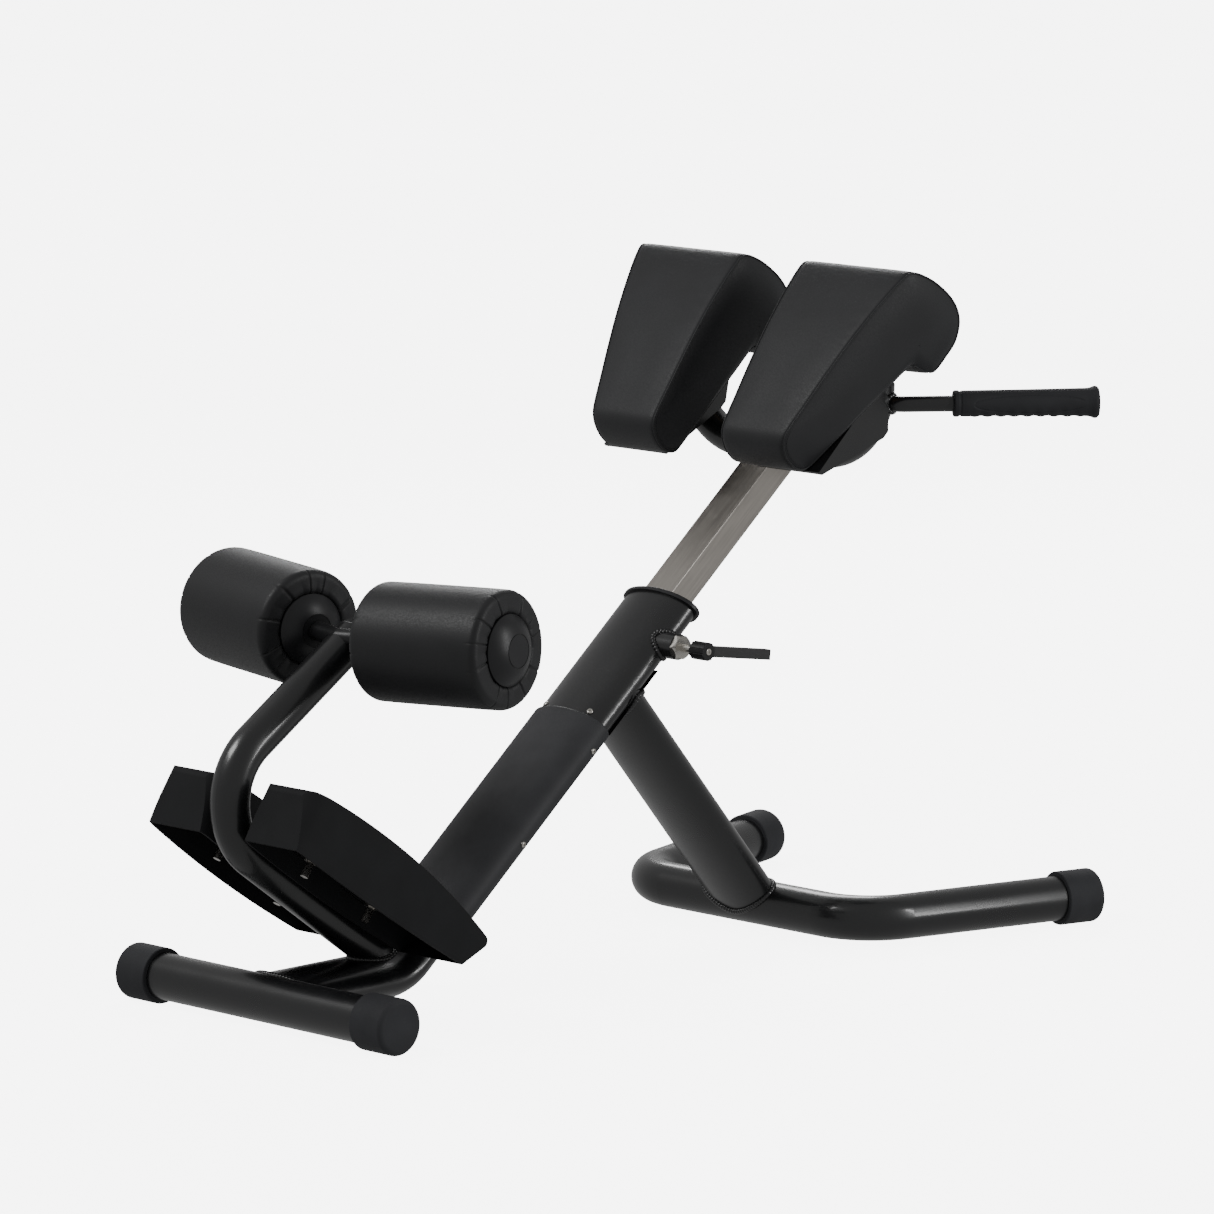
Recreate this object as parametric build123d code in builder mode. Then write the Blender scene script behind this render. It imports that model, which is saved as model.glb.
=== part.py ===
from build123d import *
from math import atan2, cos, degrees, hypot, radians, sin, tan
import os

# Roman chair (45 degree back-extension bench), millimetres.
# +X runs from the ankle rollers to the hip pads, +Y to the user's left, +Z up.
# The origin is the middle of the bounding box, on the floor.

# ---------------------------------------------------------------- driving dimensions
TUBE_R = 30.0  # round floor tubes
WALL = 2.5  # wall of every tube
CAP_R = 36.0  # rubber foot caps
CAP_LENGTH = 56.0
CAP_ROUND = 7.0
CAP_LIP = 4.0
SOLE_CUT = 0.6  # the caps are worn flat by this much, so that they stand
TUBE_Z = CAP_R - SOLE_CUT

FOOT_HALF = 245.0  # half length of the front foot over its caps
BASE_FROM_FOOT = 872.0  # foot tube to the straight middle of the rear base tube
BASE_CORNER_Y = 205.0  # where the base tube turns towards the rear
BASE_BEND = 85.0
ARM_ANGLE = 15.5  # splay of the rear arms from the X axis
ARM_RUN = 349.0  # how far the arms reach along X

OVAL_W = 60.0  # half width of the oval main tube, across the machine
OVAL_H = 28.0  # half height of the oval main tube
TILT = 39.5  # slope of the main tube
ELBOW_FROM_FOOT = 201.5
ELBOW_BEND = 75.0
MAIN_LENGTH = 652.0  # elbow corner to the top of the main tube

LEG_TOP_S = 508.0  # where the leg's axis meets the main tube's axis
SADDLE_T = 5.0

SHROUD_START, SHROUD_END = 112.0, 441.0
SHROUD_T = 4.0
SHROUD_GAP = 0.5
SHROUD_SCREW_S = (240.0, 404.0)
GUIDE_SCREW_S = 448.0

POST_W, POST_H = 50.0, 40.0  # sliding post: width across the machine, height
POST_WALL = 2.5
POST_BOTTOM = 340.0
BUSH_GAP = 0.35

CLAMP_S = 590.0  # clamp screw, measured up the main tube
STUD_R = 5.0
HUB_R = 12.0
HUB_Y = (109.0, 134.0)
LEVER_REACH = 94.0
LEVER_DROP = -7.4
LEVER_FLARE = 15.0

ROLLER_POST_R = 25.0
LOWER_RUN_TILT = 35.8
UPPER_RUN_TILT = 33.3
POST_BEND = 88.0
POST_CORNER = 123.7  # the two runs would meet this far ahead of the foot tube

AXLE_R = 12.5
AXLE_HEIGHT = 440.0  # above the floor tubes' axes
ROLLER_R = 75.5
ROLLER_HALF = 98.0
ROLLER_BORE = 19.0
ROLLER_SPLAY = 9.5  # each roller's outer end leans this far towards +X
ROLLER_RISE = 2.0

PLATE_TILT = 35.3
PLATE_Y = (37.0, 136.0, 151.0)  # inner edge, outer edge at the heel, outer edge at the toe
PLATE_SKIN = 4.0
BOLT_P = (78.0, 202.0)
BOLT_Y = 80.0

PAD_TILT = 42.0
PAD_FLARE = 15.1
PAD_GAP_TOP, PAD_GAP_BOTTOM = 54.0, 61.0
BOARD_T = 12.0
BRACKET_T = 4.0
BRACKET_Y = (85.0, 195.5)

CRADLE_R = 22.0
CRADLE_BEND = 100.0
CRADLE_STRAIGHT = 69.5
CRADLE_TOP = 735.0
HANDLE_R = 10.5
HANDLE_Z = 712.0
HANDLE_FLARE = 40.0
HANDLE_LENGTH = 258.0
GRIP_LENGTH = 188.0

# ---------------------------------------------------------------- derived places
ARM_END_Y = BASE_CORNER_Y + ARM_RUN * tan(radians(ARM_ANGLE))
REAR_END = BASE_FROM_FOOT + ARM_RUN + (CAP_R - CAP_ROUND) * sin(radians(ARM_ANGLE))
REAR_END += CAP_ROUND * (1 - cos(radians(ARM_ANGLE)))
HALF_BEND = radians(LOWER_RUN_TILT + UPPER_RUN_TILT) / 2
BEND_AIM = radians(UPPER_RUN_TILT - LOWER_RUN_TILT) / 2
FRONT_END = POST_CORNER - POST_BEND / sin(HALF_BEND) * cos(BEND_AIM) + POST_BEND + ROLLER_POST_R
FOOT_X = -(REAR_END - FRONT_END) / 2
BASE_X = FOOT_X + BASE_FROM_FOOT
ELBOW_X = FOOT_X + ELBOW_FROM_FOOT

AXIS_X, AXIS_Z = cos(radians(TILT)), sin(radians(TILT))
MAIN_AXIS = (AXIS_X, 0, AXIS_Z)


def on_main(s, y=0.0, n=0.0):
    """Point s up the main tube's axis, y across it and n above it."""
    return (ELBOW_X + s * AXIS_X - n * AXIS_Z, y, TUBE_Z + s * AXIS_Z + n * AXIS_X)


def main_plane(s):
    """Cross-section plane of the main tube: local x across the machine, local y upwards."""
    return Plane(origin=on_main(s), x_dir=(0, 1, 0), z_dir=MAIN_AXIS)


def side_plane(x, z, tilt):
    """Upright plane along the machine at (x, z): local x slopes up by tilt degrees."""
    return Plane(origin=(x, 0, z), x_dir=(cos(radians(tilt)), 0, sin(radians(tilt))), z_dir=(0, -1, 0))


def plan_plane(x, z, tilt):
    """Plane that slopes with tilt: local x up the slope, local y to the left."""
    a = radians(tilt)
    return Plane(origin=(x, 0, z), x_dir=(cos(a), 0, sin(a)), z_dir=(-sin(a), 0, cos(a)))


def across(x, y, z):
    """Plane at a point whose normal is -Y, with local x along the main tube."""
    return Plane(origin=(x, y, z), x_dir=MAIN_AXIS, z_dir=(0, -1, 0))


os.makedirs("parts", exist_ok=True)
SIDES = (("left", 1), ("right", -1))


def save(builder, name):
    """Label a finished piece and write it."""
    builder.part.label = name
    export_step(builder.part, f"parts/{name}.step")


def save_mirrored(builder, name):
    """Write a piece made on the left (+Y) and its mirror on the right (-Y)."""
    save(builder, f"{name}_left")
    with BuildPart() as other:
        mirror(builder.part, about=Plane.XZ)
    save(other, f"{name}_right")


# ---------------------------------------------------------------- front foot and rear base
with BuildPart() as front_foot_tube:
    with BuildSketch(Plane(origin=(FOOT_X, 0, TUBE_Z), x_dir=(1, 0, 0), z_dir=(0, -1, 0))):
        Circle(TUBE_R)
        Circle(TUBE_R - WALL, mode=Mode.SUBTRACT)
    extrude(amount=FOOT_HALF - CAP_LIP, both=True)
save(front_foot_tube, "front_foot_tube")


def foot_cap(end_plane):
    """Rubber cap: a rounded cup over a tube's end, flat underneath. The plane is its end face."""
    with BuildPart() as cap:
        with BuildSketch(end_plane):
            Circle(CAP_R)
        extrude(amount=-CAP_LENGTH)
        fillet(cap.faces().sort_by(Axis(end_plane.origin, end_plane.z_dir))[-1].edges(), CAP_ROUND)
        fillet(cap.faces().sort_by(Axis(end_plane.origin, end_plane.z_dir))[0].edges(), 2.0)
        with BuildSketch(end_plane.offset(-CAP_LIP)):
            Circle(TUBE_R)
        extrude(amount=-CAP_LENGTH, mode=Mode.SUBTRACT)
        split(bisect_by=Plane.XY, keep=Keep.TOP)
    return cap


front_cap = foot_cap(Plane(origin=(FOOT_X, FOOT_HALF, TUBE_Z), x_dir=(1, 0, 0), z_dir=(0, 1, 0)))
save_mirrored(front_cap, "front_cap")

ARM_DIR = (cos(radians(ARM_ANGLE)), sin(radians(ARM_ANGLE)), 0)
ARM_END = (BASE_X + ARM_RUN, ARM_END_Y, TUBE_Z)
TUBE_END = (ARM_END[0] - CAP_LIP * ARM_DIR[0], ARM_END[1] - CAP_LIP * ARM_DIR[1], TUBE_Z)


def base_solid(radius):
    """The rear base tube's solid of a given radius: a straight middle and two splayed arms."""
    with BuildPart() as bar:
        with BuildLine():
            FilletPolyline(
                (TUBE_END[0], -TUBE_END[1], TUBE_Z),
                (BASE_X, -BASE_CORNER_Y, TUBE_Z),
                (BASE_X, BASE_CORNER_Y, TUBE_Z),
                TUBE_END,
                radius=BASE_BEND,
            )
        start = Plane(
            origin=(TUBE_END[0], -TUBE_END[1], TUBE_Z),
            x_dir=(0, 0, 1),
            z_dir=(-ARM_DIR[0], ARM_DIR[1], 0),
        )
        with BuildSketch(start):
            Circle(radius)
        sweep()
    return bar


base_outer = base_solid(TUBE_R)
base_inner = base_solid(TUBE_R - WALL)
with BuildPart() as base_tube:
    add(base_outer.part)
    add(base_inner.part, mode=Mode.SUBTRACT)
save(base_tube, "base_tube")

base_cap = foot_cap(Plane(origin=ARM_END, x_dir=(0, 0, 1), z_dir=ARM_DIR))
save_mirrored(base_cap, "base_cap")


# ---------------------------------------------------------------- oval main tube
def oval_solid(shrink):
    """The main tube's solid, drawn in by shrink: level, round the elbow, then up the slope."""
    half_w, half_h = OVAL_W - shrink, OVAL_H - shrink
    cut = ELBOW_BEND * tan(radians(TILT) / 2)
    with BuildPart() as beam:
        with BuildSketch(Plane(origin=(FOOT_X, 0, TUBE_Z), x_dir=(0, 1, 0), z_dir=(1, 0, 0))):
            Ellipse(half_w, half_h)
        extrude(amount=ELBOW_FROM_FOOT - cut)
        with BuildSketch(Plane(origin=(ELBOW_X - cut, 0, TUBE_Z), x_dir=(0, 1, 0), z_dir=(1, 0, 0))):
            Ellipse(half_w, half_h)
        bend_axis = Axis((ELBOW_X - cut, 0, TUBE_Z + ELBOW_BEND), (0, -1, 0))
        revolve(axis=bend_axis, revolution_arc=TILT)
        with BuildSketch(main_plane(cut)):
            Ellipse(half_w, half_h)
        extrude(amount=MAIN_LENGTH - cut)
    return beam


main_outer = oval_solid(0.0)
main_inner = oval_solid(WALL)


def oval_sleeve(s_start, s_end, inner_gap, thickness):
    """A straight oval sleeve around the main tube, from s_start to s_end."""
    with BuildPart() as sleeve:
        with BuildSketch(main_plane(s_start)):
            Ellipse(OVAL_W + inner_gap + thickness, OVAL_H + inner_gap + thickness)
            Ellipse(OVAL_W + inner_gap, OVAL_H + inner_gap, mode=Mode.SUBTRACT)
        extrude(amount=s_end - s_start)
    return sleeve


def around_main(angle, s, reach):
    """Plane standing on an oval of half sizes reach, at an angle from -Y upwards, facing outwards."""
    a = radians(angle)
    half_w, half_h = reach
    y, n = -half_h * cos(a), half_w * sin(a)
    size = hypot(y, n)
    out = (-n / size * AXIS_Z, y / size, n / size * AXIS_X)
    seat = on_main(s, -half_w * cos(a), half_h * sin(a))
    return Plane(origin=seat, x_dir=MAIN_AXIS, z_dir=out)


OVAL = (OVAL_W, OVAL_H)
SHROUD_SEAT = (OVAL_W + SHROUD_GAP + SHROUD_T, OVAL_H + SHROUD_GAP + SHROUD_T)
GUIDE_ANGLES = (48.0, 132.0)
GUIDE_SHANK = 9.0
CLAMP = on_main(CLAMP_S)
clamp_face = across(*CLAMP)

with BuildPart() as main_beam:
    add(main_outer.part)
    add(main_inner.part, mode=Mode.SUBTRACT)
    with BuildSketch(Plane(origin=(FOOT_X, 0, TUBE_Z), x_dir=(1, 0, 0), z_dir=(0, -1, 0))):
        Circle(TUBE_R)
    extrude(amount=FOOT_HALF, both=True, mode=Mode.SUBTRACT)
    with BuildSketch(clamp_face):
        Circle(STUD_R + 1.0)
    extrude(amount=OVAL_W + 5, mode=Mode.SUBTRACT)
    for angle in GUIDE_ANGLES:
        with BuildSketch(around_main(angle, GUIDE_SCREW_S, OVAL).offset(2.0)):
            Circle(2.1)
        extrude(amount=-GUIDE_SHANK - 4.0, mode=Mode.SUBTRACT)
keep = max(main_beam.part.solids(), key=lambda solid: solid.volume)
with BuildPart() as main_beam_body:
    add(keep)
save(main_beam_body, "main_beam")


# ---------------------------------------------------------------- moulded shroud, in two shells
SCREW_ANGLES = (-5.0, 185.0)


def shroud_half(upper):
    """One shell of the shroud, parted along the machine's sides, with a rounded upper shoulder."""
    with BuildPart() as shell:
        with BuildSketch(main_plane(SHROUD_START)):
            Ellipse(OVAL_W + SHROUD_GAP + SHROUD_T, OVAL_H + SHROUD_GAP + SHROUD_T)
            Ellipse(OVAL_W + SHROUD_GAP, OVAL_H + SHROUD_GAP, mode=Mode.SUBTRACT)
            Rectangle(300, 150, align=(Align.CENTER, Align.MIN if upper else Align.MAX), mode=Mode.INTERSECT)
        extrude(amount=SHROUD_END - SHROUD_START)
        rims = shell.edges().filter_by(GeomType.ELLIPSE).sort_by(SortBy.LENGTH, reverse=True)[:2]
        fillet(rims, 3.0)
        for s in SHROUD_SCREW_S:
            for angle in SCREW_ANGLES:
                with BuildSketch(around_main(angle, s, SHROUD_SEAT).offset(SHROUD_T)):
                    Circle(2.2)
                extrude(amount=-3 * SHROUD_T, mode=Mode.SUBTRACT)
    return shell


save(shroud_half(True), "shroud_upper")
save(shroud_half(False), "shroud_lower")


def button_screw(seat_plane, head_r, head_h, shank_r, shank_l):
    """Socket button-head screw standing on its seat."""
    with BuildPart() as screw:
        with BuildSketch(seat_plane):
            Circle(head_r)
        extrude(amount=head_h)
        fillet(screw.faces().sort_by(Axis(seat_plane.origin, seat_plane.z_dir))[-1].edges(), head_h * 0.7)
        with BuildSketch(seat_plane.offset(head_h)):
            RegularPolygon(head_r * 0.42, 6)
        extrude(amount=-head_h * 0.6, mode=Mode.SUBTRACT)
        with BuildSketch(seat_plane):
            Circle(shank_r)
        extrude(amount=-shank_l)
    return screw


with BuildPart() as shroud_screws:
    for s in SHROUD_SCREW_S:
        for angle in SCREW_ANGLES:
            add(button_screw(around_main(angle, s, SHROUD_SEAT), 4.0, 2.4, 1.8, SHROUD_T).part)
save(shroud_screws, "shroud_screws")

with BuildPart() as guide_screws:
    for angle in GUIDE_ANGLES:
        add(button_screw(around_main(angle, GUIDE_SCREW_S, OVAL), 4.2, 2.4, 1.8, 8.0).part)
save(guide_screws, "guide_screws")

# ---------------------------------------------------------------- guide bushes for the post
BUSH_IN_W = POST_W / 2 + BUSH_GAP
BUSH_IN_H = POST_H / 2 + BUSH_GAP


def guide_bush(s_start, s_end, flange):
    """Nylon block that fills the oval tube around the post, with an optional end flange."""
    with BuildPart() as bush:
        with BuildSketch(main_plane(s_start)):
            Ellipse(OVAL_W - WALL, OVAL_H - WALL)
        extrude(amount=s_end - s_start)
        if flange:
            with BuildSketch(main_plane(s_end)):
                Ellipse(OVAL_W + 5.0, OVAL_H + 3.5)
            extrude(amount=flange)
            rim = bush.faces().filter_by(GeomType.PLANE).sort_by(Axis(CLAMP, MAIN_AXIS))[-1]
            fillet(rim.outer_wire().edges(), 2.0)
        with BuildSketch(main_plane(s_start)):
            Rectangle(2 * BUSH_IN_W, 2 * BUSH_IN_H)
        extrude(amount=s_end - s_start + flange, mode=Mode.SUBTRACT)
        with BuildSketch(clamp_face):
            Circle(STUD_R + 1.0)
        extrude(amount=OVAL_W, mode=Mode.SUBTRACT)
        for angle in GUIDE_ANGLES:
            with BuildSketch(around_main(angle, GUIDE_SCREW_S, OVAL)):
                Circle(2.0)
            extrude(amount=-GUIDE_SHANK, mode=Mode.SUBTRACT)
    return bush


save(guide_bush(565.0, MAIN_LENGTH, 6.0), "guide_bush_upper")
save(guide_bush(428.0, 468.0, 0.0), "guide_bush_lower")

# ---------------------------------------------------------------- rear leg and its saddle
LEG_TOP = on_main(LEG_TOP_S)
LEG_RUN_X, LEG_RUN_Z = BASE_X - LEG_TOP[0], TUBE_Z - LEG_TOP[2]
LEG_LENGTH = hypot(LEG_RUN_X, LEG_RUN_Z)
LEG_AXIS = (LEG_RUN_X / LEG_LENGTH, 0, LEG_RUN_Z / LEG_LENGTH)
SADDLE_S = (LEG_TOP_S - 62.0, LEG_TOP_S + 54.0)

with BuildPart() as saddle_block:
    with BuildSketch(main_plane(SADDLE_S[0])):
        Ellipse(OVAL_W + SADDLE_T, OVAL_H + SADDLE_T)
    extrude(amount=SADDLE_S[1] - SADDLE_S[0])
with BuildPart() as leg_saddle:
    add(oval_sleeve(SADDLE_S[0], SADDLE_S[1], 0.0, SADDLE_T).part)
    cut = Plane(origin=on_main(SADDLE_S[0], n=-20.0), x_dir=MAIN_AXIS, z_dir=(-AXIS_Z, 0, AXIS_X))
    split(bisect_by=cut, keep=Keep.BOTTOM)
    with BuildSketch(main_plane(SHROUD_START)):
        Ellipse(*(side + 0.4 for side in SHROUD_SEAT))
    extrude(amount=SHROUD_END - SHROUD_START + 1.0, mode=Mode.SUBTRACT)
save(leg_saddle, "leg_saddle")

with BuildPart() as rear_leg:
    with BuildSketch(Plane(origin=LEG_TOP, x_dir=(0, 1, 0), z_dir=LEG_AXIS)):
        Ellipse(OVAL_W, OVAL_H)
        Ellipse(OVAL_W - WALL, OVAL_H - WALL, mode=Mode.SUBTRACT)
    extrude(amount=LEG_LENGTH)
    add(main_outer.part, mode=Mode.SUBTRACT)
    add(leg_saddle.part, mode=Mode.SUBTRACT)
    half = Plane(origin=on_main(0, n=0), x_dir=MAIN_AXIS, z_dir=(-AXIS_Z, 0, AXIS_X))
    split(bisect_by=half, keep=Keep.BOTTOM)
    add(base_outer.part, mode=Mode.SUBTRACT)
    below = Plane(origin=(BASE_X, 0, TUBE_Z), x_dir=(0, 1, 0), z_dir=LEG_AXIS)
    split(bisect_by=below, keep=Keep.BOTTOM)
keep = max(rear_leg.part.solids(), key=lambda solid: solid.volume)
with BuildPart() as rear_leg_body:
    add(keep)
save(rear_leg_body, "rear_leg")


def hex_bolt(seat_plane, across_flats, head_h, shank_r, shank_l):
    """Hexagon bolt: the head stands on the seat plane and the shank goes below it."""
    with BuildPart() as bolt:
        with BuildSketch(seat_plane):
            RegularPolygon(across_flats / 2, 6, major_radius=False)
        extrude(amount=head_h)
        with BuildSketch(seat_plane):
            Circle(shank_r)
        extrude(amount=-shank_l)
    return bolt


with BuildPart() as saddle_bolts:
    for side in (-1, 1):
        below_tube = Plane(
            origin=on_main(SADDLE_S[1] - 13.0, side * 18.0, -OVAL_H - SADDLE_T + 1.0),
            x_dir=MAIN_AXIS,
            z_dir=(AXIS_Z, 0, -AXIS_X),
        )
        add(hex_bolt(below_tube, 13.0, 6.5, 4.0, 0.5).part)
    add(saddle_block.part, mode=Mode.SUBTRACT)
save(saddle_bolts, "saddle_bolts")

# ---------------------------------------------------------------- clamp screw and its lever
BOSS_R, BOSS_END = 17.0, 80.0
NUT_FLATS, NUT_T = 30.0, 8.0

with BuildPart() as clamp_boss:
    with BuildSketch(clamp_face):
        Circle(BOSS_R)
        Circle(STUD_R + 1.0, mode=Mode.SUBTRACT)
    extrude(amount=BOSS_END)
    add(main_outer.part, mode=Mode.SUBTRACT)
    split(bisect_by=Plane.XZ, keep=Keep.TOP)
save(clamp_boss, "clamp_boss")

with BuildPart() as clamp_nut:
    with BuildSketch(clamp_face.offset(BOSS_END)):
        RegularPolygon(NUT_FLATS / 2, 6, rotation=14, major_radius=False)
        Circle(STUD_R + 0.05, mode=Mode.SUBTRACT)
    extrude(amount=NUT_T)
    with BuildSketch(clamp_face.offset(BOSS_END + NUT_T)):
        Circle(NUT_FLATS / 2 - 0.5)
    extrude(amount=-NUT_T - 1, taper=-30, mode=Mode.INTERSECT)
save(clamp_nut, "clamp_nut")

STUD_TIP = POST_W / 2 + 0.45
INSERT_R, INSERT_END = 8.0, 119.0
SCREW_SHANK_R, SCREW_HEAD_R = 2.5, 4.5

with BuildPart() as clamp_stud:
    with BuildSketch(clamp_face.offset(STUD_TIP)):
        Circle(STUD_R - 1.0)
    extrude(amount=4.0)
    with BuildSketch(clamp_face.offset(STUD_TIP + 4.0)):
        Circle(STUD_R)
    extrude(amount=HUB_Y[0] - STUD_TIP - 4.0)
save(clamp_stud, "clamp_stud")

with BuildPart() as lever_insert:
    with BuildSketch(clamp_face.offset(HUB_Y[0])):
        Circle(INSERT_R - 0.8)
        with PolarLocations(INSERT_R - 0.8, 16):
            Circle(0.7)
        Circle(SCREW_SHANK_R, mode=Mode.SUBTRACT)
    extrude(amount=INSERT_END - HUB_Y[0])
save(lever_insert, "lever_insert")

SCREW_SEAT = HUB_Y[1] - 2.5
LEVER_ROOT = 3.0


def lever_plane(y_depth):
    """Plane square to the clamp axis at a depth, with local x along the lever arm."""
    a = radians(LEVER_DROP)
    return Plane(origin=(CLAMP[0], -y_depth, CLAMP[2]), x_dir=(cos(a), 0, sin(a)), z_dir=(0, -1, 0))


with BuildPart() as lever_handle:
    with BuildSketch(lever_plane(HUB_Y[0])):
        Circle(HUB_R)
        with PolarLocations(HUB_R, 12, start_angle=15):
            Circle(1.1, mode=Mode.SUBTRACT)
    extrude(amount=HUB_Y[1] - HUB_Y[0])
    fillet(lever_handle.faces().sort_by(Axis.Y)[0].outer_wire().edges(), 0.6)
    arm_top = lever_plane(0)
    flare = tan(radians(LEVER_FLARE))
    with BuildSketch(Plane(origin=arm_top.origin, x_dir=arm_top.x_dir, z_dir=arm_top.y_dir * -1)):
        with BuildLine():
            Polyline(
                (LEVER_ROOT, HUB_Y[0] + 7.0),
                (LEVER_REACH, HUB_Y[0] + 12.0 + LEVER_REACH * flare),
                (LEVER_REACH, HUB_Y[0] + 21.0 + LEVER_REACH * flare),
                (LEVER_ROOT, HUB_Y[1] - 2.0),
                close=True,
            )
        make_face()
    extrude(amount=7.0, both=True)
    fillet(lever_handle.edges().filter_by(GeomType.LINE).group_by(Axis.X)[-1], 2.0)
    with BuildSketch(lever_plane(HUB_Y[0])):
        Circle(INSERT_R + 0.4)
    extrude(amount=INSERT_END - HUB_Y[0] + 0.4, mode=Mode.SUBTRACT)
    with BuildSketch(lever_plane(HUB_Y[0])):
        Circle(SCREW_SHANK_R + 0.4)
    extrude(amount=HUB_Y[1] - HUB_Y[0], mode=Mode.SUBTRACT)
    with BuildSketch(lever_plane(INSERT_END + 3.0)):
        Circle(SCREW_HEAD_R + 0.6)
    extrude(amount=HUB_Y[1] - INSERT_END, mode=Mode.SUBTRACT)
save(lever_handle, "lever_handle")

with BuildPart() as lever_screw:
    with BuildSketch(lever_plane(HUB_Y[0] + 0.5)):
        Circle(SCREW_SHANK_R)
    extrude(amount=SCREW_SEAT - HUB_Y[0] - 0.5)
    with BuildSketch(lever_plane(SCREW_SEAT)):
        Circle(SCREW_HEAD_R)
    extrude(amount=3.2)
    fillet(lever_screw.faces().sort_by(Axis.Y)[0].edges(), 0.8)
    with BuildSketch(lever_plane(SCREW_SEAT + 3.2)):
        Rectangle(5.6, 1.1)
        Rectangle(1.1, 5.6)
    extrude(amount=-1.6, mode=Mode.SUBTRACT)
save(lever_screw, "lever_screw")

with BuildPart() as lever_spring:
    spring_start = INSERT_END + 3.3
    spring_length = SCREW_SEAT - 0.3 - spring_start
    with BuildSketch(lever_plane(spring_start)):
        Circle(SCREW_HEAD_R - 0.2)
        Circle(SCREW_SHANK_R + 0.7, mode=Mode.SUBTRACT)
    extrude(amount=spring_length)
save(lever_spring, "lever_spring")

# ---------------------------------------------------------------- roller post, a C in the middle plane
RUN_START = (ELBOW_X + 29.5, TUBE_Z)
CORNER = (FOOT_X - POST_CORNER, TUBE_Z + (ELBOW_FROM_FOOT + 29.5 + POST_CORNER) * tan(radians(LOWER_RUN_TILT)))
AXLE_X = FOOT_X + 131.4
AXLE_Z = TUBE_Z + AXLE_HEIGHT
POST_END_X = AXLE_X + 22.0
POST_END_Z = CORNER[1] + (POST_END_X - CORNER[0]) * tan(radians(UPPER_RUN_TILT))


def roller_post_solid(radius):
    """The roller post's solid: up from the elbow, round the bend and back to the rollers."""
    with BuildPart() as bar:
        with BuildLine():
            FilletPolyline(
                (RUN_START[0], 0, RUN_START[1]),
                (CORNER[0], 0, CORNER[1]),
                (POST_END_X, 0, POST_END_Z),
                radius=POST_BEND,
            )
        a = radians(LOWER_RUN_TILT)
        with BuildSketch(Plane(origin=(RUN_START[0], 0, RUN_START[1]), z_dir=(-cos(a), 0, sin(a)))):
            Circle(radius)
        sweep()
    return bar


SPLAY, RISE = radians(ROLLER_SPLAY), radians(ROLLER_RISE)
ROLLER_AXIS = (sin(SPLAY) * cos(RISE), cos(SPLAY) * cos(RISE), sin(RISE))


def roller_plane(distance):
    """Plane square to the left roller's axis, a distance out from the machine's middle."""
    x, y, z = (component * distance for component in ROLLER_AXIS)
    return Plane(origin=(AXLE_X + x, y, AXLE_Z + z), x_dir=(0, 0, 1), z_dir=ROLLER_AXIS)


ROLLER_MID = 164.0
ROLLER_IN, ROLLER_OUT = ROLLER_MID - ROLLER_HALF, ROLLER_MID + ROLLER_HALF
AXLE_END = ROLLER_OUT + 1.0

with BuildPart() as half_axle:
    with BuildSketch(roller_plane(-4.0)):
        Circle(AXLE_R)
    extrude(amount=AXLE_END + 4.0)
    split(bisect_by=Plane.XZ, keep=Keep.BOTTOM)
with BuildPart() as roller_axle:
    add(half_axle.part)
    mirror(half_axle.part, about=Plane.XZ)
save(roller_axle, "roller_axle")

post_outer = roller_post_solid(ROLLER_POST_R)
post_inner = roller_post_solid(ROLLER_POST_R - WALL)
with BuildPart() as roller_post:
    add(post_outer.part)
    add(post_inner.part, mode=Mode.SUBTRACT)
    add(main_outer.part, mode=Mode.SUBTRACT)
    add(roller_axle.part, mode=Mode.SUBTRACT)
keep = max(roller_post.part.solids(), key=lambda solid: solid.volume)
with BuildPart() as roller_post_body:
    add(keep)
save(roller_post_body, "roller_post")

u = radians(UPPER_RUN_TILT)
with BuildPart() as roller_post_cap:
    with BuildSketch(Plane(origin=(POST_END_X, 0, POST_END_Z), z_dir=(cos(u), 0, sin(u)))) as cap_face:
        Circle(ROLLER_POST_R)
    extrude(amount=3.5)
    fillet(roller_post_cap.faces().sort_by(Axis((POST_END_X, 0, POST_END_Z), (cos(u), 0, sin(u))))[-1].edges(), 2.0)
save(roller_post_cap, "roller_post_cap")

# ---------------------------------------------------------------- rollers (made on the left, mirrored)
HUB_CAP_R = 45.0
HUB_RECESS = 6.0

with BuildPart() as roller_foam:
    with BuildSketch(roller_plane(ROLLER_IN)):
        Circle(ROLLER_R)
    extrude(amount=2 * ROLLER_HALF)
    fillet(roller_foam.edges().filter_by(GeomType.CIRCLE), 10.0)
    with BuildSketch(roller_plane(ROLLER_IN)):
        Circle(ROLLER_BORE + 2.5)
    extrude(amount=2 * ROLLER_HALF, mode=Mode.SUBTRACT)
    for end, way in ((ROLLER_IN, 1), (ROLLER_OUT, -1)):
        with BuildSketch(roller_plane(end)):
            Circle(HUB_CAP_R + 0.5)
        extrude(amount=way * HUB_RECESS, mode=Mode.SUBTRACT)
save_mirrored(roller_foam, "roller_foam")

with BuildPart() as roller_sleeve:
    with BuildSketch(roller_plane(ROLLER_IN + HUB_RECESS)):
        Circle(ROLLER_BORE + 2.5)
        Circle(ROLLER_BORE, mode=Mode.SUBTRACT)
    extrude(amount=2 * (ROLLER_HALF - HUB_RECESS))
save_mirrored(roller_sleeve, "roller_sleeve")

DOME_RISE = 14.0


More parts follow.
